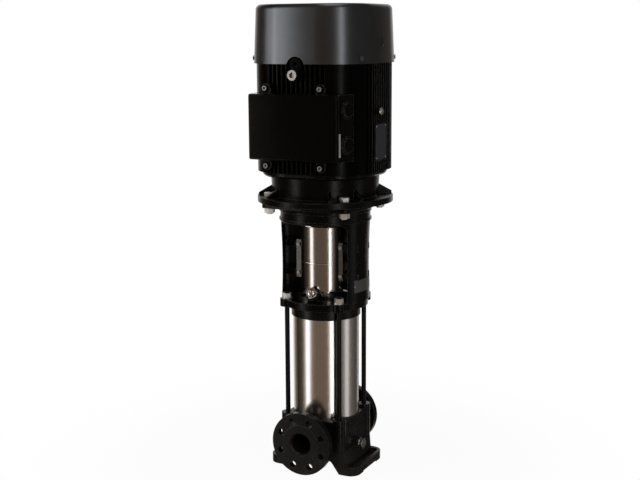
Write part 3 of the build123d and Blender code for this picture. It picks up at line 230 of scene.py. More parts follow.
# Rolled or turned bare metal: fine lines round or along it, soft stains, small scratches.
def bareMetal(name, look):
    shade = Shade(name)
    lines = shade.noise(1.0, 5.0, 0.7, shade.stretch(*look["lines"]))
    broadScales = [scale * look["broadShare"] for scale in look["lines"]]
    broad = shade.noise(1.0, 3.0, 0.6, shade.stretch(*broadScales))
    stain = shade.noise(look["stainScale"], 4.0, 0.6).fade(*look["stainBand"])
    upright = shade.stretch(1.0, 1.0, look["markStretch"])
    scratches = shade.cells(look["markScale"], "DISTANCE_TO_EDGE", upright).fade(0.0, look["markWidth"])
    marks = (1.0 - scratches) * shade.noise(30.0, 2.0).fade(0.55, 0.7)
    edgeTone = shade.edges(look["edge"]) * look["edgeTone"]
    base = shade.mix(lines * 0.5 + broad * 0.3, look["tint"], look["tintTwo"])
    base = shade.mix(stain * look["stain"], base, look["stainTint"])
    # Painted shade in hollows, partly grime: darker where the surroundings close in.
    base = shade.mix(shade.hollows(look["hollow"]) * look["grimeAndShade"], base, look["grimeAndShadeTint"])
    base = shade.mix(edgeTone, base, [min(1.0, part * 1.15) for part in look["tint"]])
    # Painted shade on the guard's side tabs, which lie near to Y = 0.
    if look["tabs"]:
        shaded = 1.0 - shade.axis("Y").size().fade(look["tabs"], look["tabs"] + look["tabEdge"])
        base = shade.mix(shaded * 0.8, base, look["tabShadeTint"])
    rough = look["rough"] + (lines - 0.5) * look["lineRough"] + stain * look["stainRough"]
    rough = rough + marks * (look["stainRough"] * 2.5)  # scratches are duller than stains
    height = lines * 0.7 + broad * 0.15 - marks * 0.6  # shares of the relief
    normal = shade.bump(height, look["relief"], shade.rounded(look["soft"]))
    shade.set(Base_Color=base, Roughness=rough.clip(), Normal=normal)
    shade.set(Metallic=look["metal"], Anisotropic=look["aniso"])
    return shade.material


# Moulded rubber, plastic, paper and winding enamel: soft mottling and a fine leathery bump.
def mouldedSurface(name, look):
    shade = Shade(name)
    grain = shade.noise(look["grain"], 4.0, 0.6)
    leather = shade.cells(look["grain"] * look["cellShare"])
    patches = shade.noise(look["patchScale"]).fade(*look["patchBand"])
    edgeTone = shade.edges(look["edge"]) * shade.noise(look["wearScale"]).fade(*look["wearBand"]) * look["edgeStrength"]
    base = shade.mix(patches * 0.5, look["tint"], look["tintTwo"])
    base = shade.mix(edgeTone.clip(), base, look["edgeTint"])
    rough = look["rough"] + (grain - 0.5) * 0.2 + patches * 0.06
    normal = shade.bump(grain * 0.8 + leather * 0.5, look["relief"])
    shade.set(Base_Color=base, Roughness=rough.clip(), Normal=normal)
    shade.set(Metallic=look["metal"], Specular_IOR_Level=look["specular"])
    return shade.material


# Paints. Scales are per metre; edge, soft and hollow are widths in metres.
# The lighter edge colour and its strength stand for rubbed paint and, on the black castings, the motor and
# the box, for a painted highlight along sharp edges.
castBlack = {
    "tint": (0.0036, 0.0032, 0.0028), "tintTwo": (0.0054, 0.0048, 0.0043), "pitTint": 0.55,
    "edgeTint": (0.120, 0.110, 0.100), "dustTint": (0.045, 0.040, 0.034),
    "grain": 800.0, "lumpShare": 0.16, "pitShare": 0.7, "pitBand": (0.05, 0.42),
    "patchScale": 14.0, "patchBand": (0.35, 0.68), "mottle": 0.18,
    "wearScale": 240.0, "wearBand": (0.38, 0.66), "edgeStrength": 0.75, "edge": 0.0024,
    "dustScale": 60.0, "dustBand": (0.4, 0.75), "dust": 0.05, "hollow": 0.012,
    "ground": 0.42, "groundBand": (0.01, 0.15),  # how much lighter towards the floor, and up to what height
    "rough": 0.30, "specular": 0.15, "metal": 0.0,
    "pits": 0.5, "relief": 0.00009, "soft": 0.0022, "crown": 0.0}
stoolBlack = dict(castBlack, ground=0.0, tint=(0.0022, 0.0019, 0.0017), tintTwo=(0.0034, 0.0030, 0.0027),
                  dust=0.03, rough=0.27, specular=0.10)
motorBlack = dict(castBlack, ground=0.0, tint=(0.0010, 0.0009, 0.0008), tintTwo=(0.0016, 0.0014, 0.0012),
                  edgeTint=(0.040, 0.037, 0.034), grain=1000.0, dust=0.02, rough=0.25, relief=0.00005,
                  edgeStrength=0.22, specular=0.045)
boxBlack = dict(motorBlack, tint=(0.0012, 0.0010, 0.0009), tintTwo=(0.0018, 0.0015, 0.0014),
                edgeTint=(0.130, 0.120, 0.110), grain=1300.0, relief=0.00003, rough=0.13, pits=0.15,
                edgeStrength=0.9, specular=0.09, soft=0.003, mottle=0.04)
coverGrey = dict(castBlack, ground=0.0, tint=(0.072, 0.076, 0.082), tintTwo=(0.084, 0.089, 0.096),
                 edgeTint=(0.20, 0.19, 0.18), grain=1500.0, dust=0.02, relief=0.000006, pits=0.05, edgeStrength=0.25,
                 mottle=0.03, specular=0.3, crown=1.6, metal=0.9, soft=0.0)
couplingGrey = dict(castBlack, tint=(0.10, 0.095, 0.09), tintTwo=(0.15, 0.14, 0.13), edgeTint=(0.35, 0.33, 0.31),
                    rough=0.5)

# Bare metals. lines are the scales of the rolled or turned lines along X, Y and Z.
stainless = {
    "tint": (0.60, 0.575, 0.545), "tintTwo": (0.70, 0.675, 0.645), "stainTint": (0.42, 0.39, 0.35),
    "lines": (35.0, 35.0, 1400.0), "broadShare": 0.12, "lineRough": 0.16,
    "stainScale": 22.0, "stainBand": (0.42, 0.72), "stain": 0.12, "stainRough": 0.06,
    "markScale": 70.0, "markStretch": 0.18, "markWidth": 0.012,
    "edge": 0.0008, "edgeTone": 0.6, "hollow": 0.008, "grimeAndShade": 0.4, "grimeAndShadeTint": (0.05, 0.045, 0.04),
    "tabs": 0.0, "tabEdge": 0.0012, "tabShadeTint": (0.05, 0.045, 0.04),  # painted shade, darker this near to Y = 0
    "metal": 1.0, "rough": 0.20, "aniso": 0.35, "relief": 0.000006, "soft": 0.0004}
sleeveSteel = dict(stainless, rough=0.25, relief=0.0000012, lineRough=0.02, soft=0.0, stainRough=0.008,
                   stain=0.06)
guardSteel = dict(stainless, tint=(0.40, 0.375, 0.355), tintTwo=(0.46, 0.435, 0.41), rough=0.19,
                  lineRough=0.02, relief=0.000001, soft=0.0, tabs=0.0362, stainRough=0.01, stain=0.06)
shaftSteel = dict(stainless, lines=(60.0, 60.0, 2600.0), tint=(0.50, 0.49, 0.475), tintTwo=(0.62, 0.61, 0.59))
lamination = dict(stainless, lines=(30.0, 30.0, 3200.0), tint=(0.30, 0.29, 0.28), tintTwo=(0.18, 0.17, 0.17),
                  rough=0.5)
zinc = dict(stainless, lines=(700.0, 700.0, 700.0), tint=(0.74, 0.74, 0.73), tintTwo=(0.84, 0.84, 0.83),
            stainTint=(0.28, 0.26, 0.23), rough=0.44, stain=0.2, grimeAndShade=0.5, relief=0.00004, aniso=0.0)
plugSteel = dict(zinc, lines=(300.0, 300.0, 300.0), tint=(0.62, 0.61, 0.59), tintTwo=(0.74, 0.73, 0.71),
                 rough=0.24, stain=0.1, relief=0.000002, lineRough=0.05, stainRough=0.02, soft=0.0008,
                 edge=0.0012)
midZinc = dict(zinc, tint=(0.33, 0.325, 0.315), tintTwo=(0.45, 0.44, 0.42), rough=0.30)
dullZinc = dict(zinc, tint=(0.15, 0.147, 0.14), tintTwo=(0.22, 0.215, 0.205), rough=0.36)
blackOxide = dict(zinc, tint=(0.010, 0.010, 0.0105), tintTwo=(0.018, 0.018, 0.019),
                  stainTint=(0.014, 0.012, 0.011), metal=0.9, rough=0.42)
carbide = dict(zinc, tint=(0.05, 0.05, 0.055), tintTwo=(0.08, 0.08, 0.085), rough=0.12)
plateMetal = dict(zinc, lines=(40.0, 40.0, 2200.0), tint=(0.060, 0.072, 0.088), tintTwo=(0.085, 0.098, 0.115),
                  stainTint=(0.05, 0.06, 0.075), rough=0.38, relief=0.000008, metal=0.8)
nameMetal = dict(zinc, lines=(900.0, 900.0, 900.0), tint=(0.060, 0.058, 0.052), tintTwo=(0.100, 0.097, 0.090),
                 stainTint=(0.045, 0.043, 0.040), rough=0.45, metal=0.1, relief=0.00002, edgeTone=0.1, soft=0.0)

# Rubber, plastics, paper and winding enamel
rubber = {
    "tint": (0.010, 0.010, 0.010), "tintTwo": (0.017, 0.016, 0.015), "edgeTint": (0.05, 0.05, 0.05),
    "grain": 1400.0, "cellShare": 0.8, "patchScale": 30.0, "patchBand": (0.35, 0.7),
    "wearScale": 180.0, "wearBand": (0.35, 0.7), "edgeStrength": 0.2, "edge": 0.001,
    "rough": 0.62, "specular": 0.5, "metal": 0.0, "relief": 0.00012}
fanPlastic = dict(rubber, tint=(0.004, 0.004, 0.0043), tintTwo=(0.007, 0.007, 0.0074), rough=0.34,
                  relief=0.00006, specular=0.14)
ringPlastic = dict(rubber, tint=(0.35, 0.31, 0.24), tintTwo=(0.42, 0.38, 0.30), edgeTint=(0.5, 0.46, 0.4),
                   rough=0.4)
copper = dict(rubber, tint=(0.42, 0.14, 0.05), tintTwo=(0.52, 0.20, 0.08), edgeTint=(0.6, 0.3, 0.15), rough=0.3,
              metal=0.85)
labelPaper = dict(rubber, tint=(0.36, 0.35, 0.33), tintTwo=(0.44, 0.43, 0.41), edgeTint=(0.2, 0.19, 0.18),
                  grain=900.0, edge=0.0004, edgeStrength=0.3, rough=0.5, relief=0.00002)

# What each material slot looks like
slotFinish = {
    "cast_iron_black": paintedCasting("castIronBlack", castBlack),
    "motor_black": paintedCasting("motorBlack", motorBlack),
    "cover_grey": paintedCasting("coverGrey", coverGrey),
    "coupling_iron": paintedCasting("couplingIron", couplingGrey),
    "stainless_bright": bareMetal("stainlessBright", stainless),
    "shaft_steel": bareMetal("shaftSteel", shaftSteel),
    "zinc_steel": bareMetal("zincSteel", zinc),
    "black_oxide": bareMetal("blackOxide", blackOxide),
    "seal_carbide": bareMetal("sealCarbide", carbide),
    "lamination_steel": bareMetal("laminationSteel", lamination),
    "rubber_black": mouldedSurface("rubberBlack", rubber),
    "fan_plastic": mouldedSurface("fanPlastic", fanPlastic),
    "neck_ring_plastic": mouldedSurface("neckRingPlastic", ringPlastic),
    "winding_copper": mouldedSurface("windingCopper", copper)}

# Finishes that single pieces have of their own
ownFinish = {
    "box paint": paintedCasting("boxBlack", boxBlack),
    "stool paint": paintedCasting("stoolBlack", stoolBlack),
    "sleeve steel": bareMetal("sleeveSteel", sleeveSteel),
    "guard steel": bareMetal("guardSteel", guardSteel),
    "bright plug": bareMetal("plugSteel", plugSteel),
    "grey screw": bareMetal("midZinc", midZinc),
    "dull screw": bareMetal("dullZinc", dullZinc),
    "rating plate": bareMetal("plateMetal", plateMetal),
    "nameplate": bareMetal("nameMetal", nameMetal),
    "label paper": mouldedSurface("labelPaper", labelPaper)}
wearsOwn = {
    "terminal_box": "box paint", "terminal_box_lid": "box paint", "cable_entry_plugs": "box paint",
    "motor_stool": "stool paint", "drive_end_shield": "stool paint", "outer_sleeve": "sleeve steel",
    "drain_plug": "bright plug", "priming_plug": "bright plug", "lifting_screw": "grey screw",
    "guard_screws": "dull screw", "terminal_box_screws": "dull screw", "fan_cover_screws": "dull screw"}
print("finishes made:", len(slotFinish) + len(ownFinish))


def dress(name, material):
    mesh = nodes[name].data
    mesh.materials.clear()
    mesh.materials.append(material)
    for face in mesh.polygons:
        face.material_index = 0


for part in frame["record"]["subparts"]:
    if part["node"] in wearsOwn:
        dress(part["node"], ownFinish[wearsOwn[part["node"]]])
    else:
        dress(part["node"], slotFinish[part["material_slot"]])
print("CAD nodes dressed")


# Adds a piece of the still pump, in its slot's finish or in one of its own.
def addPiece(name, mesh, slotName, finish=None, smooth=35.0):
    mesh.materials.clear()
    mesh.materials.append(ownFinish[finish] if finish else slotFinish[slotName])
    for face in mesh.polygons:
        face.use_smooth = True
    mesh.set_sharp_from_angle(angle=math.radians(smooth))
    piece = bpy.data.objects.new(name, mesh)
    scene.collection.objects.link(piece)
    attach(piece, "pump")
    return piece


# A form is a pair of lists: its points and its faces.
def buildMesh(name, *forms):
    vertices, faces = [], []
    for points, polygons in forms:
        start = len(vertices)
        vertices += points
        faces += [tuple(start + index for index in polygon) for polygon in polygons]
    mesh = bpy.data.meshes.new(name)
    mesh.from_pydata(vertices, [], faces)
    work = bmesh.new()
    work.from_mesh(mesh)
    bmesh.ops.remove_doubles(work, verts=work.verts, dist=0.000002)
    bmesh.ops.recalc_face_normals(work, faces=work.faces)
    work.to_mesh(mesh)
    work.free()
    return mesh


# A frame with its Z along a direction, at a point.
def frameAt(point, direction):
    turn = Vector(direction).to_track_quat("Z", "Y").to_matrix().to_4x4()
    return Matrix.Translation(Vector(point)) @ turn


def shift(x, y, z):
    return Matrix.Translation((x, y, z))


# Quads between one ring of points and the next; the rings are closed.
def ringFaces(ringCount, count):
    faces = []
    for ring in range(ringCount - 1):
        for step in range(count):
            nextStep = (step + 1) % count
            faces.append((ring * count + step, ring * count + nextStep,
                          (ring + 1) * count + nextStep, (ring + 1) * count + step))
    return faces


# Quads between one open row of points and the next.
def rowFaces(rowCount, count):
    firsts = [row * count + rail for row in range(rowCount - 1) for rail in range(count - 1)]
    return [(first, first + count, first + count + 1, first + 1) for first in firsts]


# Turned form: (radius, height) pairs swept round a frame's Z, with few sides for a hexagon.
def turned(profile, place, sides=48):
    vertices = []
    for radius, height in profile:
        for step in range(sides):
            angle = 2 * math.pi * (step + 0.5) / sides
            vertices.append(place @ Vector((radius * math.cos(angle), radius * math.sin(angle), height)))
    return vertices, ringFaces(len(profile), sides)


tipRadius = 0.00002  # where a turned form closes on its axis


def dome(radius, height, place, sides=24):
    profile = [(radius, 0.0), (radius, height * 0.25)]
    for angle in (20, 40, 60, 78):
        rise = 0.25 + 0.75 * math.sin(math.radians(angle))
        profile.append((radius * math.cos(math.radians(angle)), height * rise))
    return turned(profile + [(tipRadius, height)], place, sides)


# A screw thread: a ridge wound round a shank from one height to another, fading in and out at its ends.
def threadRidge(look, low, high, place, perTurn=40):
    radius, pitch, depth = look["radius"], look["pitch"], look["depth"]
    sunk = 0.00008  # how deep the ridge's foot lies in the shank
    fadeSteps = perTurn * 0.4
    total = int((high - low) / pitch * perTurn)
    vertices = []
    for step in range(total + 1):
        angle = 2 * math.pi * step / perTurn
        height = low + pitch * step / perTurn
        crest = depth * min(1.0, step / fadeSteps, (total - step) / fadeSteps)
        for out, rise in ((-sunk, 0.0), (crest, pitch * 0.42), (crest, pitch * 0.58), (-sunk, pitch)):
            reach = radius + out
            vertices.append(place @ Vector((reach * math.cos(angle), reach * math.sin(angle), height + rise)))
    return vertices, rowFaces(total + 1, 4)


# Rounded rectangle whose upper and lower halves have matching points, for cutting into upright strips.
def roundedOutline(width, height, corner, steps=6, across=14):
    reach, top = width / 2 - corner, height / 2 - corner
    turns = [math.radians(90.0 * step / steps) for step in range(steps + 1)]
    half = [(reach + corner * math.cos(turn), top + corner * math.sin(turn)) for turn in turns]
    half += [(reach - 2 * reach * step / across, height / 2) for step in range(1, across)]
    half += [(-reach - corner * math.sin(turn), top + corner * math.cos(turn)) for turn in turns]
    return half + [(x, -y) for x, y in reversed(half)]


# Thin plate with softened rim and a raised border; bend is the radius of a cylinder that it is bent round.
def plate(look, place, bend=None):
    thick, border = look["thick"], look["border"]
    levels = [(0.0, 0.0), (0.0, thick * 0.7), (-thick * 0.3, thick), (-border, thick),
              (-border - thick * 0.4, thick * 0.6)]
    vertices = []
    for inset, rise in levels:
        corner = max(0.0002, look["corner"] + inset)
        for x, y in roundedOutline(look["width"] + 2 * inset, look["height"] + 2 * inset, corner):
            vertices.append(Vector((x, y, rise - look.get("lean", 0.0) * y)))
    count = len(vertices) // len(levels)
    faces = ringFaces(len(levels), count)
    for first in (0, (len(levels) - 1) * count):
        last = first + count - 1
        for step in range(count // 2 - 1):
            faces.append((first + step, first + step + 1, last - 1 - step, last - step))
    if bend:
        for point in vertices:
            angle, reach = point.x / bend, bend + point.z
            point.x, point.z = reach * math.sin(angle), reach * math.cos(angle) - bend
    return [place @ point for point in vertices], faces


# Frames of the four bolts on a circle
def boltSpots(circle):
    turns = [math.radians(45 + 90 * count) for count in range(4)]
    return [shift(circle * math.cos(turn), circle * math.sin(turn), 0.0) for turn in turns]


stayboltLook = {"circle": 0.1065, "radius": 0.00625, "pitch": 0.00175, "depth": 0.00025,
                "footLevel": 0.146, "footLength": 0.012, "topPlain": 0.002}


def addStayboltThreads(look):
    nutTop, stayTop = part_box("staybolt_nuts")[1].z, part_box("staybolts")[1].z
    ridges = []
    for spot in boltSpots(look["circle"]):
        ridges.append(threadRidge(look, nutTop, stayTop - look["topPlain"], spot))
        ridges.append(threadRidge(look, look["footLevel"], look["footLevel"] + look["footLength"], spot))
    addPiece("staybolt_threads", buildMesh("staybolt threads", *ridges), "black_oxide", smooth=25.0)


flangeBoltLook = {"circle": 0.150, "radius": 0.008, "pitch": 0.002, "depth": 0.0003,
                  "tipPlain": 0.0003, "nutRoom": 0.0005}


def addFlangeBoltThreads(look):
    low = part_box("flange_bolts")[0].z + look["tipPlain"]
    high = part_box("flange_nuts")[0].z - look["nutRoom"]
    ridges = [threadRidge(look, low, high, spot) for spot in boltSpots(look["circle"])]
    addPiece("flange_bolt_threads", buildMesh("flange bolt threads", *ridges), "zinc_steel", smooth=25.0)


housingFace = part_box("stator_housing")[1].x
ratingPlateLook = {"width": 0.062, "height": 0.088, "corner": 0.004, "thick": 0.0008, "border": 0.0022,
                   "level": 0.865, "rivetInset": 0.0045, "rivetRadius": 0.0019, "rivetHeight": 0.0014}


# Bare plate on the housing's right face, on its four rivets
def addRatingPlate(look):
    place = frameAt((housingFace, 0.0, look["level"]), (1, 0, 0))
    across = look["width"] / 2 - look["rivetInset"]
    up = look["height"] / 2 - look["rivetInset"]
    rivets = []
    for x, y in ((-across, -up), (-across, up), (across, -up), (across, up)):
        rivetPlace = place @ shift(x, y, look["thick"] / 2)
        rivets.append(dome(look["rivetRadius"], look["rivetHeight"], rivetPlace, 20))
    sheet = buildMesh("rating plate", plate(look, place))
    addPiece("rating_plate", sheet, "lamination_steel", "rating plate")
    addPiece("rating_plate_rivets", buildMesh("rating plate rivets", *rivets), "zinc_steel")


stoolPlateLook = {"width": 0.094, "height": 0.032, "corner": 0.002, "thick": 0.0008, "border": 0.0016,
                  "lean": 0.031, "bend": 0.11386, "level": 0.495, "rivetInset": 0.0035,
                  "rivetRadius": 0.0016, "rivetHeight": 0.0012}


# Bare nameplate bent round the stool's right column
def addStoolNameplate(look):
    turn = frameAt((0, 0, look["level"]), (1, 0, 0))
    form = plate(look, turn @ shift(0, 0, look["bend"]), look["bend"])
    rivets = []
    across = look["width"] / 2 - look["rivetInset"]
    for sideways in (-across, across):
        swing = Matrix.Rotation(sideways / look["bend"], 4, "Y")
        rivetPlace = turn @ swing @ shift(0, 0, look["bend"] + look["thick"] / 2)
        rivets.append(dome(look["rivetRadius"], look["rivetHeight"], rivetPlace, 20))
    addPiece("stool_nameplate", buildMesh("stool nameplate", form), "lamination_steel", "nameplate")
    addPiece("stool_nameplate_rivets", buildMesh("stool nameplate rivets", *rivets), "zinc_steel")


slotShadeLook = {"width": 0.0205, "height": 0.0055, "corner": 0.0027, "thick": 0.002, "border": 0.001,
                 "place": (0.1035, -0.029, 0.550)}


# Black rubber sheet sunk in the stool's slot, a painted shade where the slot looks dark
def addSlotShade(look):
    place = frameAt(look["place"], (1, 0, 0))
    addPiece("slot_shade", buildMesh("slot shade", plate(look, place)), "rubber_black")


sideLabelLook = {"width": 0.011, "height": 0.057, "corner": 0.0008, "thick": 0.00025, "border": 0.0006,
                 "place": (0.12195, -0.1669, 0.8675), "sideWidens": 0.0145, "sideDepth": 0.064}


# Blank label on the terminal box's sloping side
def addSideLabel(look):
    outward = Vector((look["sideDepth"], -look["sideWidens"], 0.0)).normalized()
    form = plate(look, frameAt(look["place"], outward))
    addPiece("side_label", buildMesh("side label", form), "fan_plastic", "label paper")


earthLook = {"level": 0.941, "washer": 0.0092, "washerThick": 0.0013, "collar": 0.0066, "collarTop": 0.0023,
             "head": 0.0066, "headTop": 0.0058, "socket": 0.0026, "socketFloor": 0.0028}


# Earth screw with its washer and clamp ring on the housing's boss
def addEarthScrew(look):
    place = frameAt((housingFace, 0.0, look["level"]), (1, 0, 0))
    rim, thick, socket = look["washer"], look["washerThick"], look["socket"]
    washer = turned([(socket, 0.0), (rim - 0.0002, 0.0), (rim, 0.0002), (rim, thick - 0.0002),
                     (rim - 0.0003, thick), (socket, thick)], place, 40)
    rim, top = look["collar"], look["collarTop"]
    collar = turned([(rim - 0.0002, thick), (rim, thick + 0.0002), (rim, top - 0.0002), (rim - 0.0004, top),
                     (rim - 0.0012, top)], place, 40)
    rim, top, floor = look["head"], look["headTop"], look["socketFloor"]
    head = turned([(rim - 0.0004, thick), (rim, thick + 0.0003), (rim, top - 0.0008), (rim - 0.0009, top),
                   (socket, top), (socket - 0.0002, floor + 0.0002), (tipRadius, floor)], place, 6)
    addPiece("earth_screw", buildMesh("earth screw", washer, collar, head), "zinc_steel", "bright plug")


skirtLook = {"cadEdge": 0.4785, "deck": 0.4590}


# The guards again, with the rear one's skirt carried down to the stool's deck
def addGuardSheets(look):
    mesh = nodes["coupling_guards"].data.copy()
    mesh.name = "guard sheets"
    for point in mesh.vertices:
        if point.co.y > 0.0 and point.co.z < look["cadEdge"]:
            point.co.z = look["deck"]
    sheets = addPiece("guard_sheets", mesh, "stainless_bright", "guard steel")
    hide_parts("coupling_guards")


guardLook = {"radius": 0.066, "top": 0.645, "bead": 0.550, "beadSize": 0.0021, "rimSize": 0.0009,
             "rimDrop": 0.0011, "halfTurn": 54, "rimBeyond": 2}


# Half-round bead pressed round a guard between two angles, at one level.
def guardBead(radius, level, size, fromAngle, toAngle, steps=56):
    vertices = []
    across = [math.radians(degrees) for degrees in (-90, -60, -30, 0, 30, 60, 90)]
    for step in range(steps + 1):
        share = step / steps
        angle = math.radians(fromAngle + (toAngle - fromAngle) * share)
        rise = size * 0.6 * min(1.0, share * 14, (1 - share) * 14)  # fades in and out at the ends
        for turn in across:
            out = radius - 0.0001 + rise * math.cos(turn)
            height = level + size * math.sin(turn)
            vertices.append(Vector((out * math.sin(angle), -out * math.cos(angle), height)))
    return vertices, rowFaces(steps + 1, len(across))


# The pressed line round the middle of each guard, and the curled rim along its top, in a brighter steel than
# the guard sheets as a painted highlight
def addGuardBeads(look):
    beads = []
    for middle in (0, 180):
        start, end = middle - look["halfTurn"], middle + look["halfTurn"]
        beyond = look["rimBeyond"]
        beads.append(guardBead(look["radius"], look["bead"], look["beadSize"], start, end))
        beads.append(guardBead(look["radius"], look["top"] - look["rimDrop"], look["rimSize"],
                               start - beyond, end + beyond))
    addPiece("guard_beads", buildMesh("guard beads", *beads), "stainless_bright", smooth=60.0)


guardPadLook = {"width": 0.017, "height": 0.017, "corner": 0.0015, "thick": 0.0005, "border": 0.0014,
                "level": 0.570, "turn": -5}


# Small square pad on the front guard
def addGuardPad(look, radius):
    turn = math.radians(look["turn"])
    outward = frameAt((0, 0, look["level"]), (math.sin(turn), -math.cos(turn), 0.0))
    form = plate(look, outward @ shift(0, 0, radius), radius)
    addPiece("guard_pad", buildMesh("guard pad", form), "stainless_bright", "guard steel")


ventLook = {"plugFoot": (0.0, -0.055, 0.458), "plugLength": 0.0385, "lean": 55,
            "collar": 0.0102, "hexagon": 0.0062, "hexagonTop": 0.0071, "tip": 0.0030, "tipHeight": 0.0028}


# Vent screw in the outer end of the priming plug
def addVentScrew(look):
    lean = math.radians(look["lean"])
    outward = Vector((0, -math.sin(lean), math.cos(lean)))
    place = frameAt(Vector(look["plugFoot"]) + outward * look["plugLength"], outward)
    rim = look["collar"]
    collar = turned([(rim, -0.0004), (rim, 0.0003), (rim - 0.0016, 0.0018), (rim - 0.0042, 0.0026)], place)
    rim, top = look["hexagon"], look["hexagonTop"]
    hexagon = turned([(rim - 0.0002, 0.0022), (rim, 0.0026), (rim, top - 0.0009),
                      (rim - 0.0008, top - 0.0001), (look["tip"], top)], place, 6)
    tip = dome(look["tip"], look["tipHeight"], place @ shift(0, 0, top - 0.0002))
    addPiece("vent_screw", buildMesh("vent screw", collar, hexagon, tip), "zinc_steel", "bright plug")


addStayboltThreads(stayboltLook)
addFlangeBoltThreads(flangeBoltLook)
addRatingPlate(ratingPlateLook)
addStoolNameplate(stoolPlateLook)
addSlotShade(slotShadeLook)
addSideLabel(sideLabelLook)
addEarthScrew(earthLook)
addGuardSheets(skirtLook)
addGuardBeads(guardLook)
addGuardPad(guardPadLook, guardLook["radius"])
addVentScrew(ventLook)
print("pieces added")


floorLook = {"tint": (0.90, 0.90, 0.90), "tintTwo": (0.84, 0.84, 0.84), "mottleScale": 3.0, "mottle": 0.02,
             "half": 14.0, "rough": 0.9, "glow": 0.955, "clearFrom": 0.30, "clearTo": 0.95}


# The floor shows the object's shadow near it and runs out to plain white.
def makeFloor(look):
    half = look["half"]
    corners = [(-half, -half, 0), (half, -half, 0), (half, half, 0), (-half, half, 0)]
    mesh = bpy.data.meshes.new("floor")
    mesh.from_pydata(corners, [], [(0, 1, 2, 3)])
    floor = bpy.data.objects.new("floor", mesh)
    scene.collection.objects.link(floor)
    floor.visible_glossy = False  # bare metal mirrors the lamps, not the floor
    shade = Shade("studioFloor")
    base = shade.mix(shade.noise(look["mottleScale"], 2.0) * look["mottle"], look["tint"], look["tintTwo"])
    shade.set(Base_Color=base, Roughness=look["rough"])
    glow = shade.node("ShaderNodeEmission", {}, {"Color": (1, 1, 1, 1), "Strength": 1.0})
    seen = shade.node("ShaderNodeLightPath", {}, {}, "Is Camera Ray")
    away = shade.vector("LENGTH", shade.place).fade(look["clearFrom"], look["clearTo"])
    factor = seen * (look["glow"] + away * (1.0 - look["glow"]))
    both = shade.node("ShaderNodeMixShader", {}, {0: factor, 1: shade.shader, 2: glow})
    shade.feed(shade.output, {"Surface": both})
    mesh.materials.append(shade.material)


cameraLook = {"lens": 63.645, "sensor": 36.0, "place": (1.31359, -2.59015, 1.14312), "turn": 27.18,
              "tilt": 79.44, "roll": -0.33, "clipEnd": 60.0}

# Level directions seen from the camera: ahead is towards it, aside to its right.
sightAngle = math.radians(cameraLook["turn"])
ahead = Vector((math.sin(sightAngle), -math.cos(sightAngle), 0.0))
aside = Vector((math.cos(sightAngle), math.sin(sightAngle), 0.0))


def makeCamera(look):
    data = bpy.data.cameras.new("camera")
    data.lens = look["lens"]
    data.sensor_width = look["sensor"]
    data.clip_end = look["clipEnd"]
    holder = bpy.data.objects.new("camera", data)
    scene.collection.objects.link(holder)
    holder.location = look["place"]
    turn = Matrix.Rotation(sightAngle, 4, "Z") @ Matrix.Rotation(math.radians(look["tilt"]), 4, "X")
    holder.rotation_euler = (turn @ Matrix.Rotation(math.radians(look["roll"]), 4, "Z")).to_euler()
    scene.camera = holder


# room is the level that metal mirrors and diffuse the one that lights the rest; whiteBand says how far
# behind the object a direction must point to be white in metal.
worldLook = {"room": 0.186, "diffuse": 0.14, "roomTint": (1.0, 0.72, 0.50), "whiteBand": (0.74, 0.88),
             "leftDim": 0.8, "rightDim": 0.25, "rightCool": 0.62, "cornerDim": 0.65}


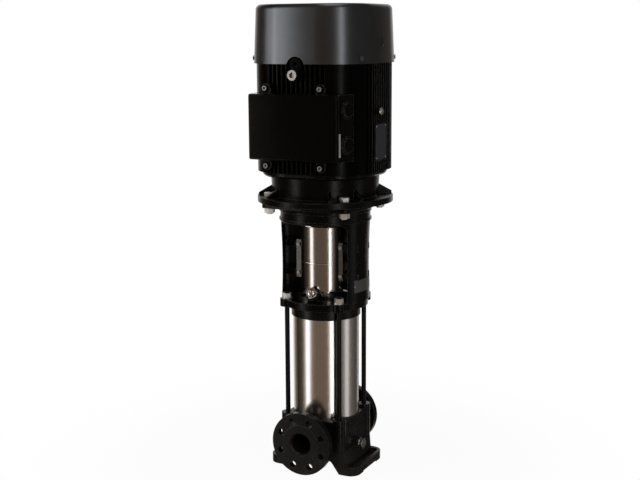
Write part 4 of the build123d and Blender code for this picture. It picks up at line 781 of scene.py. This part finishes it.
# White behind the object, a dim warm room in front of it.
def makeWorld(look):
    world = bpy.data.worlds.new("studio")
    scene.world = world
    sheet = NodeSheet(world)
    direction = sheet.node("ShaderNodeTexCoord", {}, {}, "Generated")
    level = sheet.vector("NORMALIZE", sheet.vector("MULTIPLY", direction, (1.0, 1.0, 0.0)))
    toward = sheet.vector("DOT_PRODUCT", level, ahead)
    across = sheet.vector("DOT_PRODUCT", level, aside)
    behind = (-toward).fade(*look["whiteBand"])
    left = (-across).fade(0.80, 0.97) * (1.0 - toward.fade(-0.1, 0.12))
    right = across.fade(0.35, 0.85)
    corner = across.fade(0.2, 0.5) * (1.0 - toward.fade(-0.62, -0.32))  # behind the object and to its right
    room = look["room"] * (1.0 - left * look["leftDim"]) * (1.0 - right * look["rightDim"])
    room = room * (1.0 - corner * look["cornerDim"])
    camera = sheet.node("ShaderNodeLightPath", {}, {}, "Is Camera Ray")
    glossy = sheet.node("ShaderNodeLightPath", {}, {}, "Is Glossy Ray")
    mirrored = room + behind * (1.0 - look["room"])
    strength = camera + (1.0 - camera) * (glossy * mirrored + (1.0 - glossy) * look["diffuse"])
    warm = glossy * (1.0 - behind) * (1.0 - camera) * (1.0 - right * look["rightCool"])
    tint = sheet.mix(warm, (1.0, 1.0, 1.0), look["roomTint"])
    background = sheet.node("ShaderNodeBackground", {}, {"Color": tint, "Strength": strength})
    sheet.node("ShaderNodeOutputWorld", {}, {"Surface": background})


# Each lamp stands round the object, turned in degrees from the line of sight, and faces its axis at a level.
lamps = {
    "left strip": {"turn": -66.5, "away": 3.0, "level": 0.6, "faces": 0.6, "size": (0.76, 3.6), "watts": 25},
    "high left card": {"turn": -67.5, "away": 2.95, "level": 1.35, "faces": 1.35, "size": (0.62, 0.8),
                       "watts": 4.5},
    "far left card": {"turn": -85, "away": 2.95, "level": 1.35, "faces": 1.35, "size": (0.9, 0.8),
                      "watts": 6.5},
    "middle strip": {"turn": 20, "away": 3.0, "level": 0.6, "faces": 0.6, "size": (0.42, 3.6), "watts": 26},
    "overhead box": {"turn": 0, "away": 0.9, "level": 3.4, "faces": 0.7, "size": (1.6, 1.6), "watts": 17},
    "right strip": {"turn": 76, "away": 3.0, "level": -0.45, "faces": -0.45, "size": (0.8, 1.5),
                    "watts": 3.9}}


def makeLamp(name, look):
    turn = math.radians(look["turn"])
    outward = ahead * math.cos(turn) + aside * math.sin(turn)
    spot = outward * look["away"] + Vector((0, 0, look["level"]))
    lamp = bpy.data.lights.new(name, "AREA")
    lamp.shape = "RECTANGLE"
    lamp.size, lamp.size_y = look["size"]
    lamp.energy = look["watts"]
    holder = bpy.data.objects.new(name, lamp)
    scene.collection.objects.link(holder)
    holder.location = spot
    holder.rotation_euler = (Vector((0, 0, look["faces"])) - spot).to_track_quat("-Z", "Y").to_euler()


makeFloor(floorLook)
makeWorld(worldLook)
makeCamera(cameraLook)
for name, look in lamps.items():
    makeLamp(name, look)
scene.view_settings.view_transform = "Standard"
print("floor, world, camera and lamps placed")
